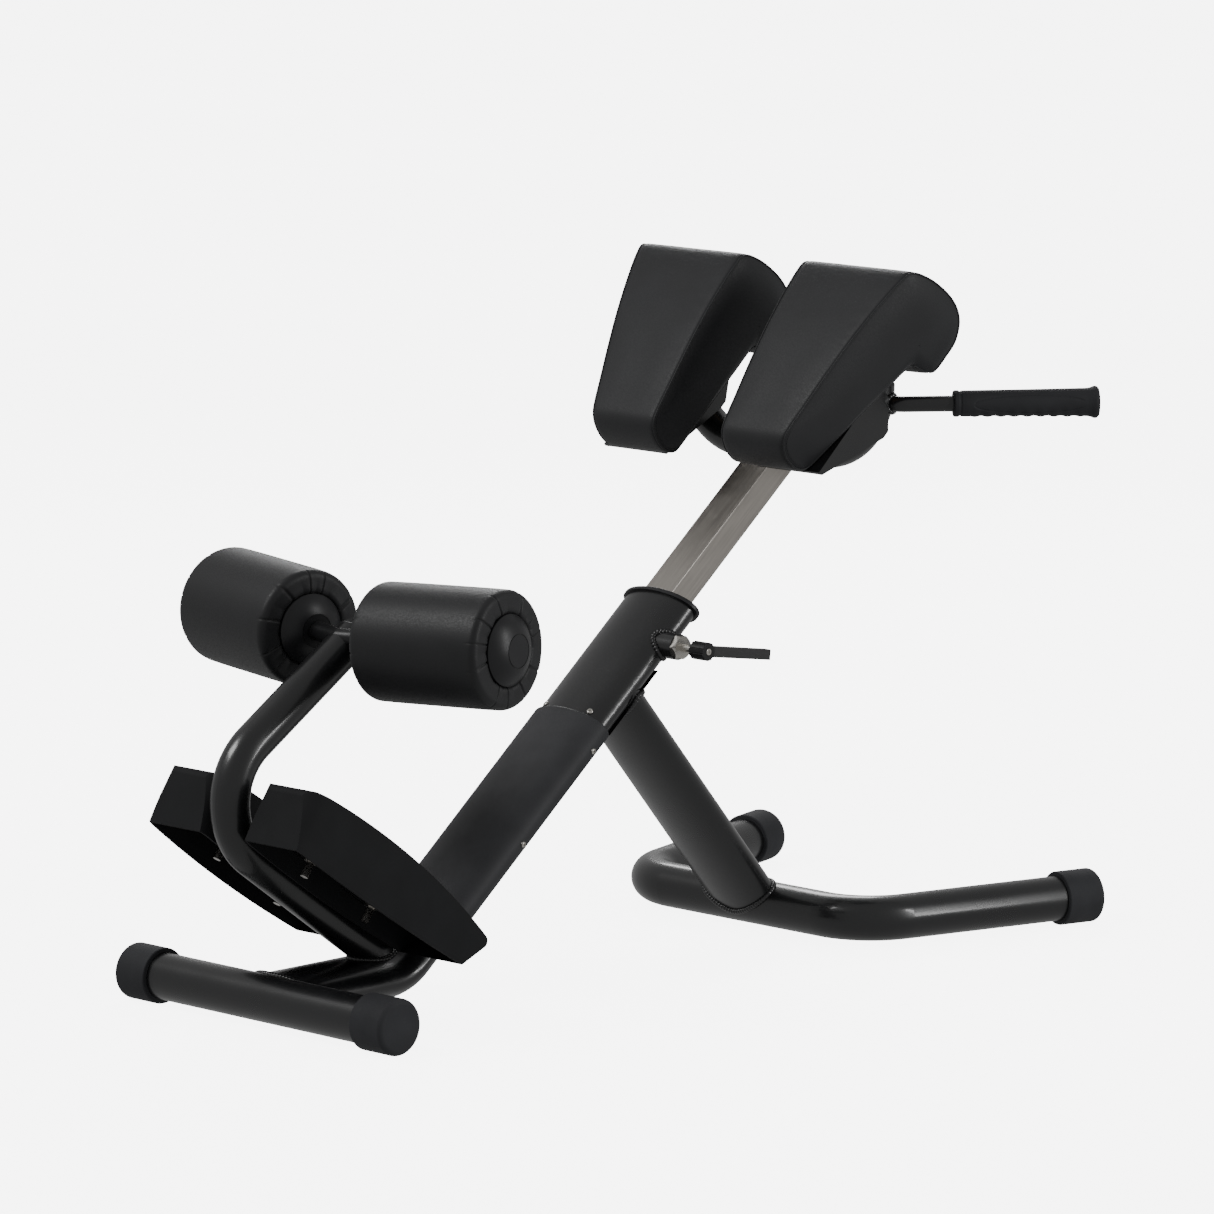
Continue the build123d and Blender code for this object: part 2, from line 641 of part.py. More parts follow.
def hub_cap(outer):
    """Moulded dome over a roller's end: closed with a centre disc outside, holed for the axle inside."""
    seat = ROLLER_OUT - HUB_RECESS if outer else ROLLER_IN + HUB_RECESS
    way = 1 if outer else -1
    base = roller_plane(seat)
    profile_plane = Plane(origin=base.origin, x_dir=base.x_dir, z_dir=base.y_dir)
    height = HUB_RECESS + DOME_RISE
    with BuildPart() as cap:
        with BuildSketch(profile_plane):
            with BuildLine():
                Line((0, 0), (HUB_CAP_R, 0))
                Line((HUB_CAP_R, 0), (HUB_CAP_R, -way * HUB_RECESS))
                ThreePointArc(
                    (HUB_CAP_R, -way * HUB_RECESS),
                    (HUB_CAP_R * 0.72, -way * height * 0.78),
                    (HUB_CAP_R * 0.48, -way * height),
                )
                Line((HUB_CAP_R * 0.48, -way * height), (0, -way * height))
                Line((0, -way * height), (0, 0))
            make_face()
        revolve(axis=Axis(base.origin, base.z_dir))
        with BuildSketch(base.offset(way * height)):
            Circle(HUB_CAP_R * 0.48)
            Circle(HUB_CAP_R * 0.48 - 1.0, mode=Mode.SUBTRACT)
        extrude(amount=-way * 0.8, mode=Mode.SUBTRACT)
        hole = roller_plane(seat - way)
        with BuildSketch(hole):
            Circle(AXLE_R + 0.05)
        extrude(amount=way * (height + 5 if not outer else height - 5.0), mode=Mode.SUBTRACT)
        if outer:
            with BuildSketch(roller_plane(AXLE_END - 1.0)):
                Circle(AXLE_R + 4.5)
            extrude(amount=DOME_RISE - 6.0, mode=Mode.SUBTRACT)
    return cap


save_mirrored(hub_cap(True), "roller_cap_outer")
save_mirrored(hub_cap(False), "roller_cap_inner")

with BuildPart() as left_retainer:
    with BuildSketch(roller_plane(AXLE_END)):
        Circle(AXLE_R + 3.5)
    extrude(amount=2.5)
    with BuildSketch(roller_plane(AXLE_END + 2.5)):
        RegularPolygon(6.5, 6, major_radius=False)
    extrude(amount=3.5)
with BuildPart() as roller_retainers:
    add(left_retainer.part)
    mirror(left_retainer.part, about=Plane.XZ)
save(roller_retainers, "roller_retainers")

# ---------------------------------------------------------------- foot plates
HEEL = (FOOT_X - 67.0, 251.7)
TOE_P = 318.0
BAR_H = 24.6
BAR_W, BAR_T = 50.0, 5.0
plate_side = side_plane(HEEL[0], HEEL[1], -PLATE_TILT)
plate_plan = plan_plane(HEEL[0], HEEL[1], -PLATE_TILT)


def plate_solid(inset, floor):
    """A foot plate's solid, flat underneath with a long shallow crown, drawn in by an inset."""
    with BuildPart() as solid:
        with BuildSketch(plate_side):
            with BuildLine():
                heel, toe = (inset - 2.0, floor - 2.0), (TOE_P - inset, floor + 4.0)
                ThreePointArc(heel, (160.0, floor - 4.0), toe)
                Line(toe, (341.0 - inset, 40.0))
                ThreePointArc(
                    (341.0 - inset, 40.0), (342.0 - inset, 48.0 - inset), (336.0 - inset, 53.5 - inset)
                )
                ThreePointArc((336.0 - inset, 53.5 - inset), (164.0, 77.0 - inset), (-7.0, 75.0 - inset))
                ThreePointArc((-7.0, 75.0 - inset), (-15.0 + inset, 71.5 - inset), (-17.0 + inset, 62.0))
                Line((-17.0 + inset, 62.0), heel)
            make_face()
        extrude(amount=-200.0)
        with BuildSketch(plate_plan.offset(-10.0)) as outline:
            with BuildLine():
                Polyline(
                    (-20.0 + inset, PLATE_Y[1] - inset),
                    (-20.0 + inset, PLATE_Y[0] + inset),
                    (350.0, PLATE_Y[0] + inset),
                    (350.0, PLATE_Y[2] - inset),
                )
                ThreePointArc(
                    (350.0, PLATE_Y[2] - inset), (165.0, PLATE_Y[2] - inset - 1.0), (-20.0 + inset, PLATE_Y[1] - inset)
                )
            make_face()
            fillet(outline.vertices().sort_by(Axis.X)[:2], 34.0 - inset)
        extrude(amount=100.0, mode=Mode.INTERSECT)
    return solid


beam_clearance = oval_solid(-2.0)
with BuildPart() as footplate:
    add(plate_solid(0.0, 0.0).part)
    add(plate_solid(PLATE_SKIN, -6.0).part, mode=Mode.SUBTRACT)
    add(beam_clearance.part, mode=Mode.SUBTRACT)
    with BuildSketch(plate_plan.offset(BAR_H - 0.5)):
        with Locations((BOLT_P[0], 0), (BOLT_P[1], 0)):
            Rectangle(BAR_W + 1.0, 2 * PLATE_Y[0] + 20.0)
    extrude(amount=BAR_T + 1.0, mode=Mode.SUBTRACT)
save_mirrored(footplate, "footplate")

for name, centre in (("upper", BOLT_P[0]), ("lower", BOLT_P[1])):
    with BuildPart() as bar:
        with BuildSketch(plate_plan.offset(BAR_H)):
            with Locations((centre, 0)):
                RectangleRounded(BAR_W, 226.0, 6.0)
            with Locations((centre, BOLT_Y), (centre, -BOLT_Y)):
                Circle(5.5, mode=Mode.SUBTRACT)
        extrude(amount=BAR_T)
    save(bar, f"plate_bar_{name}")

bolt_spots = [(p, y) for p in BOLT_P for y in (BOLT_Y, -BOLT_Y)]
with BuildPart() as plate_bosses:
    with BuildSketch(plate_plan.offset(BAR_H + BAR_T)):
        with Locations(*bolt_spots):
            Circle(14.0)
            Circle(5.5, mode=Mode.SUBTRACT)
    extrude(amount=30.0)
save(plate_bosses, "plate_spacers")
with BuildPart() as footplate_bolts:
    with BuildSketch(plate_plan.offset(BAR_H + 35.0)):
        with Locations(*bolt_spots):
            Circle(11.0)
    extrude(amount=4.0)
    with BuildSketch(plate_plan.offset(BAR_H + 35.0)):
        with Locations(*bolt_spots):
            Circle(5.0)
    extrude(amount=-BAR_H - 41.0)
save(footplate_bolts, "footplate_bolts")
with BuildPart() as footplate_washers:
    with BuildSketch(plate_plan.offset(BAR_H)):
        with Locations(*bolt_spots):
            Circle(11.0)
            Circle(5.2, mode=Mode.SUBTRACT)
    extrude(amount=-1.8)
save(footplate_washers, "footplate_washers")
with BuildPart() as footplate_nuts:
    with BuildSketch(plate_plan.offset(BAR_H - 1.8)):
        with Locations(*bolt_spots):
            RegularPolygon(8.5, 6, major_radius=False)
            Circle(5.0, mode=Mode.SUBTRACT)
    extrude(amount=-8.5)
save(footplate_nuts, "footplate_nuts")

# ---------------------------------------------------------------- sliding post and cradle
CRADLE_X, CRADLE_Z = FOOT_X + 937.4, 638.9


def cradle_solid(radius):
    """The cradle tube's solid: level in the middle, two quarter bends and two short uprights."""
    arm_y = CRADLE_STRAIGHT + CRADLE_BEND
    with BuildPart() as bar:
        with BuildLine():
            FilletPolyline(
                (CRADLE_X, -arm_y, CRADLE_TOP),
                (CRADLE_X, -arm_y, CRADLE_Z),
                (CRADLE_X, arm_y, CRADLE_Z),
                (CRADLE_X, arm_y, CRADLE_TOP),
                radius=CRADLE_BEND - 4.5,
            )
        with BuildSketch(Plane(origin=(CRADLE_X, -arm_y, CRADLE_TOP), x_dir=(1, 0, 0), z_dir=(0, 0, -1))):
            Circle(radius)
        sweep()
    return bar


cradle_outer = cradle_solid(CRADLE_R)
cradle_inner = cradle_solid(CRADLE_R - WALL)
with BuildPart() as cradle_tube:
    add(cradle_outer.part)
    add(cradle_inner.part, mode=Mode.SUBTRACT)
save(cradle_tube, "cradle_tube")

with BuildPart() as cradle_plug:
    with BuildSketch(Plane.XY.offset(CRADLE_TOP)):
        with Locations((CRADLE_X, CRADLE_STRAIGHT + CRADLE_BEND)):
            Circle(CRADLE_R)
    extrude(amount=3.0)
    fillet(cradle_plug.faces().sort_by(Axis.Z)[-1].edges(), 1.5)
    with BuildSketch(Plane.XY.offset(CRADLE_TOP)):
        with Locations((CRADLE_X, CRADLE_STRAIGHT + CRADLE_BEND)):
            Circle(CRADLE_R - WALL - 0.6)
    extrude(amount=-7.0)
save_mirrored(cradle_plug, "cradle_plug")

POST_TOP = (CRADLE_X - ELBOW_X) / AXIS_X
with BuildPart() as slide_post:
    with BuildSketch(main_plane(POST_BOTTOM)):
        RectangleRounded(POST_W, POST_H, 2.0)
        RectangleRounded(POST_W - 2 * POST_WALL, POST_H - 2 * POST_WALL, 1.0, mode=Mode.SUBTRACT)
    extrude(amount=POST_TOP - POST_BOTTOM)
    add(cradle_outer.part, mode=Mode.SUBTRACT)
keep = max(slide_post.part.solids(), key=lambda solid: solid.volume)
with BuildPart() as slide_post_body:
    add(keep)
save(slide_post_body, "slide_post")

with BuildPart() as post_end_cap:
    with BuildSketch(main_plane(POST_BOTTOM)):
        RectangleRounded(POST_W, POST_H, 2.0)
    extrude(amount=-4.0)
    with BuildSketch(main_plane(POST_BOTTOM)):
        RectangleRounded(POST_W - 2 * POST_WALL, POST_H - 2 * POST_WALL, 1.5)
    extrude(amount=14.0)
save(post_end_cap, "post_end_cap")

# ---------------------------------------------------------------- hip pads, boards and brackets
PAD_X, PAD_Z = FOOT_X + 803.0, 641.4
pad_side = side_plane(PAD_X, PAD_Z, PAD_TILT)
pad_plan = plan_plane(PAD_X, PAD_Z, PAD_TILT)
flare = tan(radians(PAD_FLARE))


def pad_edge(s, inset=0.0):
    """Outer edge of the left pad at a distance up its base."""
    return 177.0 + s * flare - inset


def pad_inner(s):
    """Inner edge of the left pad at a distance up its base."""
    return PAD_GAP_BOTTOM - (PAD_GAP_BOTTOM - PAD_GAP_TOP) * s / 256.0


BOARD_S = (8.0, 176.0)
BOARD_INSET = 14.0
PAD_BOLTS = [(s, y) for s in (30.0, 112.0) for y in (110.0, 155.0)]
PAD_BOLT_R, PAD_BOLT_DEPTH = 4.0, 8.0

with BuildPart() as board_blank:
    with BuildSketch(pad_plan) as board_plan:
        with BuildLine():
            Polyline(
                (BOARD_S[0], pad_inner(BOARD_S[0]) + BOARD_INSET),
                (BOARD_S[1], pad_inner(BOARD_S[1]) + BOARD_INSET),
                (BOARD_S[1], pad_edge(BOARD_S[1], BOARD_INSET)),
                (BOARD_S[0], pad_edge(BOARD_S[0], BOARD_INSET)),
                close=True,
            )
        make_face()
        fillet(board_plan.vertices(), 8.0)
    extrude(amount=BOARD_T)
with BuildPart() as pad_board:
    add(board_blank.part)
    with BuildSketch(pad_plan):
        with Locations(*PAD_BOLTS):
            Circle(PAD_BOLT_R)
    extrude(amount=PAD_BOLT_DEPTH, mode=Mode.SUBTRACT)
save_mirrored(pad_board, "pad_board")

with BuildPart() as pad:
    with BuildSketch(pad_side):
        with BuildLine():
            Line((0, 0), (187, 0))
            ThreePointArc((187, 0), (190, -18), (206, -31))
            ThreePointArc((206, -31), (252, -18), (275, 26))
            ThreePointArc((275, 26), (271, 68), (257, 111))
            ThreePointArc((257, 111), (130, 97), (-3, 65))
            ThreePointArc((-3, 65), (-18, 36), (0, 0))
        make_face()
    extrude(amount=-300.0)
    with BuildSketch(pad_plan.offset(-60)):
        with BuildLine():
            Polyline(
                (-30, pad_inner(-30)),
                (290, pad_inner(290)),
                (290, pad_edge(290)),
                (-30, pad_edge(-30)),
                close=True,
            )
        make_face()
    extrude(amount=220.0, mode=Mode.INTERSECT)
    add(board_blank.part, mode=Mode.SUBTRACT)
save_mirrored(pad, "pad")

GUSSET_REAR = 22.0
with BuildPart() as pad_bracket:
    with BuildSketch(pad_plan):
        with BuildLine():
            Polyline(
                (-8, BRACKET_Y[0]), (148, BRACKET_Y[0]), (148, BRACKET_Y[1]), (-8, BRACKET_Y[1]), close=True
            )
        make_face()
    extrude(amount=-BRACKET_T)
    for inner, outer, depth in ((BRACKET_Y[1] - BRACKET_T, BRACKET_Y[1], 58.0), (BRACKET_Y[0], BRACKET_Y[0] + BRACKET_T, 38.0)):
        with BuildSketch(Plane(origin=pad_side.origin + Vector(0, outer, 0), x_dir=pad_side.x_dir, z_dir=(0, -1, 0))):
            with BuildLine():
                Polyline(
                    (-8, 0), (148, 0), (148, -depth * 0.42), (118, -depth), (106, -depth), (-6, -7), close=True
                )
            make_face()
        extrude(amount=outer - inner)
    add(cradle_outer.part, mode=Mode.SUBTRACT)
    with BuildSketch(pad_plan):
        with Locations(*PAD_BOLTS):
            Circle(PAD_BOLT_R + 0.2)
    extrude(amount=-BRACKET_T, mode=Mode.SUBTRACT)
keep = max(pad_bracket.part.solids(), key=lambda solid: solid.volume)
with BuildPart() as pad_bracket_body:
    add(keep)
save_mirrored(pad_bracket_body, "pad_bracket")

with BuildPart() as bolts_left:
    under = Plane(origin=pad_plan.origin, x_dir=pad_plan.x_dir, z_dir=pad_plan.z_dir * -1).offset(BRACKET_T)
    for s, y in PAD_BOLTS:
        spot = under.shift_origin(under.from_local_coords((s, -y, 0)))
        add(hex_bolt(spot, 13.0, 5.5, PAD_BOLT_R, BRACKET_T + PAD_BOLT_DEPTH).part)
with BuildPart() as pad_bolts:
    add(bolts_left.part)
    mirror(bolts_left.part, about=Plane.XZ)
save(pad_bolts, "pad_bolts")

# ---------------------------------------------------------------- handles and grips
ARM_Y = CRADLE_STRAIGHT + CRADLE_BEND
HANDLE_DIR = (cos(radians(HANDLE_FLARE)), sin(radians(HANDLE_FLARE)), 0)
HANDLE_TURN = (CRADLE_X + 7.0, ARM_Y + 32.0, HANDLE_Z)
HANDLE_END = tuple(a + HANDLE_LENGTH * b for a, b in zip(HANDLE_TURN, HANDLE_DIR))


def handle_solid(radius):
    """The left handle's solid: out of the cradle's arm, then rearwards and outwards."""
    with BuildPart() as bar:
        with BuildLine():
            FilletPolyline((CRADLE_X, ARM_Y, HANDLE_Z), HANDLE_TURN, HANDLE_END, radius=26.0)
        start_dir = (HANDLE_TURN[0] - CRADLE_X, HANDLE_TURN[1] - ARM_Y, 0)
        with BuildSketch(Plane(origin=(CRADLE_X, ARM_Y, HANDLE_Z), x_dir=(0, 0, 1), z_dir=start_dir)):
            Circle(radius)
        sweep()
    return bar


handle_outer = handle_solid(HANDLE_R)
handle_inner = handle_solid(HANDLE_R - 2.0)
with BuildPart() as handle_body:
    add(handle_outer.part)
    add(handle_inner.part, mode=Mode.SUBTRACT)
    add(cradle_outer.part, mode=Mode.SUBTRACT)
keep = max(handle_body.part.solids(), key=lambda solid: solid.volume)
with BuildPart() as handle:
    add(keep)
save_mirrored(handle, "handle")

grip_end = Plane(origin=HANDLE_END, x_dir=(0, 0, 1), z_dir=HANDLE_DIR)
grip_side = Plane(origin=HANDLE_END, x_dir=(0, 0, 1), z_dir=grip_end.y_dir)
with BuildPart() as grip:
    with BuildSketch(grip_side):
        with BuildLine():
            points = [
                (0, -4.5),
                (17.5, -4.5),
                (21.5, -1.5),
                (21.5, 3.0),
                (18.8, 9.0),
                (17.6, GRIP_LENGTH - 14.0),
                (16.8, GRIP_LENGTH - 9.0),
                (17.6, GRIP_LENGTH - 6.5),
                (17.6, GRIP_LENGTH - 1.5),
                (16.2, GRIP_LENGTH),
                (0, GRIP_LENGTH),
            ]
            Polyline(*points, close=True)
        make_face()
    revolve(axis=Axis(HANDLE_END, HANDLE_DIR))
    add(handle_outer.part, mode=Mode.SUBTRACT)
save_mirrored(grip, "grip")
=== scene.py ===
import logging
from collections.abc import Callable, Iterable
from dataclasses import dataclass, field
from enum import Enum
from math import cos, pi, radians, sin, tan

import bmesh
import bpy
import numpy as np
from mathutils import Matrix, Vector


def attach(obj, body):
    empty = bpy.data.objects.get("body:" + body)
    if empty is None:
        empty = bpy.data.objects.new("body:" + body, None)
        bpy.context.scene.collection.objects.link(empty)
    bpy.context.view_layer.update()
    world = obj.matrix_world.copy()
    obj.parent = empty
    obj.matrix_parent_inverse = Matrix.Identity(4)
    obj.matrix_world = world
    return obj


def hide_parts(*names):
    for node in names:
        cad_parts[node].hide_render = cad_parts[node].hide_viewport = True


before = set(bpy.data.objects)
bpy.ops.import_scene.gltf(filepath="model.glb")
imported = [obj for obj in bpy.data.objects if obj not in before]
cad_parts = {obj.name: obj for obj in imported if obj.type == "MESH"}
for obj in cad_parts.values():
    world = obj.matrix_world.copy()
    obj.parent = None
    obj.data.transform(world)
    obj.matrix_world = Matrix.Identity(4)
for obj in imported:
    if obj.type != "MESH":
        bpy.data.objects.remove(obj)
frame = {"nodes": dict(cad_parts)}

log = logging.getLogger("roman_chair")
MM = 0.001
Array = np.ndarray


class Side(Enum):
    """The two sides of the machine, with the sign of Y on each."""

    LEFT = 1
    RIGHT = -1

    @property
    def word(self) -> str:
        """The side's name as the nodes spell it."""
        return self.name.lower()


class Body(Enum):
    """The rigid bodies that pieces ride on."""

    FRAME = "frame"
    HEAD = "pad_head"
    CLAMP = "clamp_screw"
    LEVER = "clamp_lever"
    ROLLER_LEFT = "ankle_roller_left"
    ROLLER_RIGHT = "ankle_roller_right"


# ------------------------------------------------------------------ shader arithmetic
class Value:
    """A shader socket that takes part in Python arithmetic by adding Math nodes."""

    def __init__(self, sheet: "Recipe", socket: bpy.types.NodeSocket) -> None:
        """Keep the recipe and its output socket."""
        self.sheet = sheet
        self.socket = socket

    def _math(self, operation: str, first: "Value | float", second: "Value | float") -> "Value":
        """Add one Math node for an operation on two operands."""
        return self.sheet.node("ShaderNodeMath", {"operation": operation}, **{"0": first, "1": second})

    def __add__(self, other: "Value | float") -> "Value":
        """Sum."""
        return self._math("ADD", self, other)

    __radd__ = __add__

    def __sub__(self, other: "Value | float") -> "Value":
        """Difference."""
        return self._math("SUBTRACT", self, other)

    def __rsub__(self, other: float) -> "Value":
        """Difference from a number."""
        return self._math("SUBTRACT", other, self)

    def __mul__(self, other: "Value | float") -> "Value":
        """Product."""
        return self._math("MULTIPLY", self, other)

    __rmul__ = __mul__

    def __pow__(self, power: float) -> "Value":
        """Power."""
        return self._math("POWER", self, power)

    def least(self, other: "Value | float") -> "Value":
        """The smaller of two values."""
        return self._math("MINIMUM", self, other)

    def most(self, other: "Value | float") -> "Value":
        """The larger of two values."""
        return self._math("MAXIMUM", self, other)


class Recipe:
    """One material's node tree, written as expressions."""

    def __init__(self, name: str) -> None:
        """Start an empty material with its shader and output.

        Args:
            name: The material's name.
        """
        self.material = bpy.data.materials.new(name)
        self.material.use_nodes = True
        self.tree = self.material.node_tree
        self.tree.nodes.clear()
        self.shader = self.tree.nodes.new("ShaderNodeBsdfPrincipled")
        output = self.tree.nodes.new("ShaderNodeOutputMaterial")
        self.tree.links.new(self.shader.outputs[0], output.inputs["Surface"])
        self.coords = self.node("ShaderNodeTexCoord", {}, out="Object")

    def node(self, kind: str, settings: dict | None = None, out: int | str = 0, **inputs: object) -> Value:
        """Add a node, make its settings, then feed its inputs.

        Args:
            kind: The node's type.
            settings: Attributes of the node, and "stops" for a ramp.
            out: The output that is returned.
            inputs: Socket name or number to a value, colour or Value.

        Returns:
            The chosen output.
        """
        made = self.tree.nodes.new(kind)
        for key, value in (settings or {}).items():
            if key == "stops":
                self._stops(made.color_ramp, value)
            else:
                setattr(made, key, value)
        for key, value in inputs.items():
            socket = made.inputs[int(key)] if key.isdigit() else made.inputs[key]
            self._feed(socket, value)
        return Value(self, made.outputs[out])

    def _feed(self, socket: bpy.types.NodeSocket, value: object) -> None:
        """Link a Value to a socket, or set a constant on it."""
        if isinstance(value, Value):
            self.tree.links.new(value.socket, socket)
        else:
            socket.default_value = value

    @staticmethod
    def _stops(ramp: bpy.types.ColorRamp, stops: Iterable[tuple[float, tuple]]) -> None:
        """Give a ramp its stops."""
        stops = list(stops)
        while len(ramp.elements) < len(stops):
            ramp.elements.new(0.5)
        for element, (place, colour) in zip(ramp.elements, stops):
            element.position = place
            element.color = colour

    def noise(self, scale: float, detail: float = 3.0, stretch: tuple = (1, 1, 1),
              rough: float = 0.5) -> Value:
        """Fractal noise from 0 to 1 on object coordinates; scale is in cycles per metre."""
        placed = self.node("ShaderNodeMapping", {}, **{"Vector": self.coords, "Scale": stretch})
        return self.node(
            "ShaderNodeTexNoise", {}, Vector=placed, Scale=scale, Detail=detail, Roughness=rough
        )

    def cells(self, scale: float, feature: str = "F1", stretch: tuple = (1, 1, 1)) -> Value:
        """Distance field of a cell pattern, for grain and pebbles."""
        placed = self.node("ShaderNodeMapping", {}, **{"Vector": self.coords, "Scale": stretch})
        settings = {"feature": feature}
        return self.node("ShaderNodeTexVoronoi", settings, out="Distance", Vector=placed, Scale=scale)

    def span(self, value: Value, low: float, high: float, to_low: float, to_high: float) -> Value:
        """Map a range of a value onto another, clamped."""
        names = {"From Min": low, "From Max": high, "To Min": to_low, "To Max": to_high}
        return self.node("ShaderNodeMapRange", {"clamp": True}, Value=value, **names)

    def mix(self, factor: Value, first: tuple, second: tuple) -> Value:
        """Blend two colours by a factor."""
        ends = {"0": factor, "6": first, "7": second}
        return self.node("ShaderNodeMix", {"data_type": "RGBA"}, out=2, **ends)

    def bump(self, height: Value, depth_mm: float, strength: float = 1.0) -> Value:
        """Bump from a 0 to 1 height, depth in millimetres."""
        return self.node("ShaderNodeBump", {}, Strength=strength, Distance=depth_mm * MM, Height=height)

    def finish(self, **sockets: object) -> bpy.types.Material:
        """Feed the shader's sockets and give the material back."""
        for key, value in sockets.items():
            self._feed(self.shader.inputs[key.replace("_", " ")], value)
        return self.material


def grey(level: float, tint: tuple = (1.0, 1.0, 1.0)) -> tuple:
    """A tinted grey as RGBA."""
    return (level * tint[0], level * tint[1], level * tint[2], 1.0)


COOL = (0.96, 0.98, 1.08)
WARM = (1.05, 1.0, 0.93)


@dataclass(frozen=True)
class GlossPaint:
    """Semi-gloss black powder coat with a light orange peel and a few dust specks."""

    name: str = "black_powder_coat"
    level: float = 0.0075
    roughness: float = 0.3
    peel_mm: float = 0.035

    def make(self) -> bpy.types.Material:
        """Build the material: slow roughness drift, fine peel bump, faint specks."""
        r = Recipe(self.name)
        drift = r.noise(9.0, 2.0)
        peel = r.noise(420.0, 2.0)
        speck = r.span(r.noise(900.0, 0.0), 0.70, 0.76, 0.0, 1.0)
        colour = r.mix(speck * 0.35, grey(self.level, COOL), grey(self.level * 4.0, COOL))
        rough = r.span(drift, 0.3, 0.7, self.roughness - 0.05, self.roughness + 0.06) + speck * 0.1
        normal = r.bump(peel, self.peel_mm, 0.35)
        return r.finish(
            Base_Color=colour, Roughness=rough, Normal=normal, Coat_Weight=0.35, Coat_Roughness=0.12,
            Specular_IOR_Level=0.5,
        )


@dataclass(frozen=True)
class MouldedPlastic:
    """Moulded plastic with a spark-eroded texture of a given depth and grain size."""

    name: str
    level: float
    roughness: float
    grain: float = 1500.0
    depth_mm: float = 0.05
    tint: tuple = COOL

    def make(self) -> bpy.types.Material:
        """Build the material: fine pits in the bump, mottled roughness and colour."""
        r = Recipe(self.name)
        pits = r.noise(self.grain, 3.0)
        mottle = r.noise(30.0, 3.0)
        tone = r.span(mottle, 0.3, 0.7, 0.0, 1.0)
        colour = r.mix(tone, grey(self.level * 0.88, self.tint), grey(self.level * 1.14, self.tint))
        rough = r.span(pits, 0.3, 0.7, self.roughness - 0.06, self.roughness + 0.07)
        normal = r.bump(pits, self.depth_mm, 0.6)
        return r.finish(Base_Color=colour, Roughness=rough, Normal=normal, Specular_IOR_Level=0.38)


@dataclass(frozen=True)
class Rubber:
    """Matte black rubber with a dusty bloom."""

    name: str
    level: float
    roughness: float = 0.78
    grain: float = 1100.0
    depth_mm: float = 0.08

    def make(self) -> bpy.types.Material:
        """Build the material: grain bump with a pale bloom in broad patches."""
        r = Recipe(self.name)
        grain = r.noise(self.grain, 4.0, rough=0.6)
        bloom = r.span(r.noise(22.0, 4.0), 0.35, 0.75, 0.0, 1.0)
        colour = r.mix(bloom, grey(self.level, COOL), grey(self.level * 1.35, COOL))
        rough = r.span(grain, 0.3, 0.7, self.roughness - 0.08, self.roughness + 0.06)
        normal = r.bump(grain, self.depth_mm, 0.7)
        return r.finish(Base_Color=colour, Roughness=rough, Normal=normal, Specular_IOR_Level=0.24)


@dataclass(frozen=True)
class Leatherette:
    """Black vinyl upholstery: pebbled grain over creases, glossier on the pebbles."""

    name: str
    level: float
    roughness: float = 0.46
    grain: float = 620.0

    def make(self) -> bpy.types.Material:
        """Build the material: cell pebbles broken up by noise, in bump, gloss and tone."""
        r = Recipe(self.name)
        pebbles = r.cells(self.grain, "F1")
        creases = r.noise(170.0, 4.0, rough=0.6)
        height = (1.0 - pebbles) * 0.7 + creases * 0.5
        wear = r.span(r.noise(14.0, 3.0), 0.35, 0.7, 0.0, 1.0)
        colour = r.mix(wear, grey(self.level * 0.85, COOL), grey(self.level * 1.12, COOL))
        rough = r.span(pebbles, 0.1, 0.7, self.roughness - 0.06, self.roughness + 0.10) + wear * 0.04
        normal = r.bump(height, 0.16, 0.55)
        return r.finish(
            Base_Color=colour, Roughness=rough, Normal=normal, Sheen_Weight=0.06, Sheen_Roughness=0.5,
            Specular_IOR_Level=0.34,
        )


@dataclass(frozen=True)
class PlatedSteel:
    """Satin plated steel with a drawn grain along one direction and faint handling marks."""

    name: str
    colour: tuple = (0.52, 0.49, 0.455, 1.0)
    roughness: float = 0.3
    along: tuple = (1.0, 0.0, 0.0)
    turn: float = 0.0
    lines: float = 900.0

    def make(self) -> bpy.types.Material:
        """Build the material: noise stretched along the grain, turned to follow the piece."""
        r = Recipe(self.name)
        turned = r.node("ShaderNodeMapping", {}, Vector=r.coords, Rotation=(0.0, self.turn, 0.0))
        stretched = r.node("ShaderNodeMapping", {}, Vector=turned, Scale=(0.02, 1.0, 1.0))
        lines = r.node("ShaderNodeTexNoise", {}, Vector=stretched, Scale=self.lines, Detail=3.0)
        marks = r.span(r.noise(45.0, 4.0), 0.55, 0.8, 0.0, 1.0)
        dark = tuple(0.82 * c for c in self.colour[:3]) + (1.0,)
        colour = r.mix(r.span(lines, 0.3, 0.7, 0.0, 1.0), dark, self.colour)
        rough = r.span(lines, 0.3, 0.7, self.roughness - 0.05, self.roughness + 0.08) + marks * 0.08
        normal = r.bump(lines, 0.02, 0.25)
        return r.finish(Base_Color=colour, Roughness=rough, Normal=normal, Metallic=1.0)


@dataclass(frozen=True)
class Plywood:
    """Birch ply: pale veneer grain with darker glue lines through the thickness."""

    name: str = "birch_ply"

    def make(self) -> bpy.types.Material:
        """Build the material: stretched noise for the grain."""
        r = Recipe(self.name)
        grain = r.noise(60.0, 5.0, stretch=(0.12, 1.0, 1.0))
        fibre = r.noise(600.0, 3.0, stretch=(0.05, 1.0, 1.0))
        tone = grain * 0.7 + fibre * 0.3
        colour = r.mix(r.span(tone, 0.3, 0.7, 0.0, 1.0), (0.30, 0.19, 0.10, 1.0), (0.52, 0.38, 0.24, 1.0))
        rough = r.span(fibre, 0.3, 0.7, 0.5, 0.68)
        return r.finish(Base_Color=colour, Roughness=rough, Normal=r.bump(fibre, 0.05, 0.4))


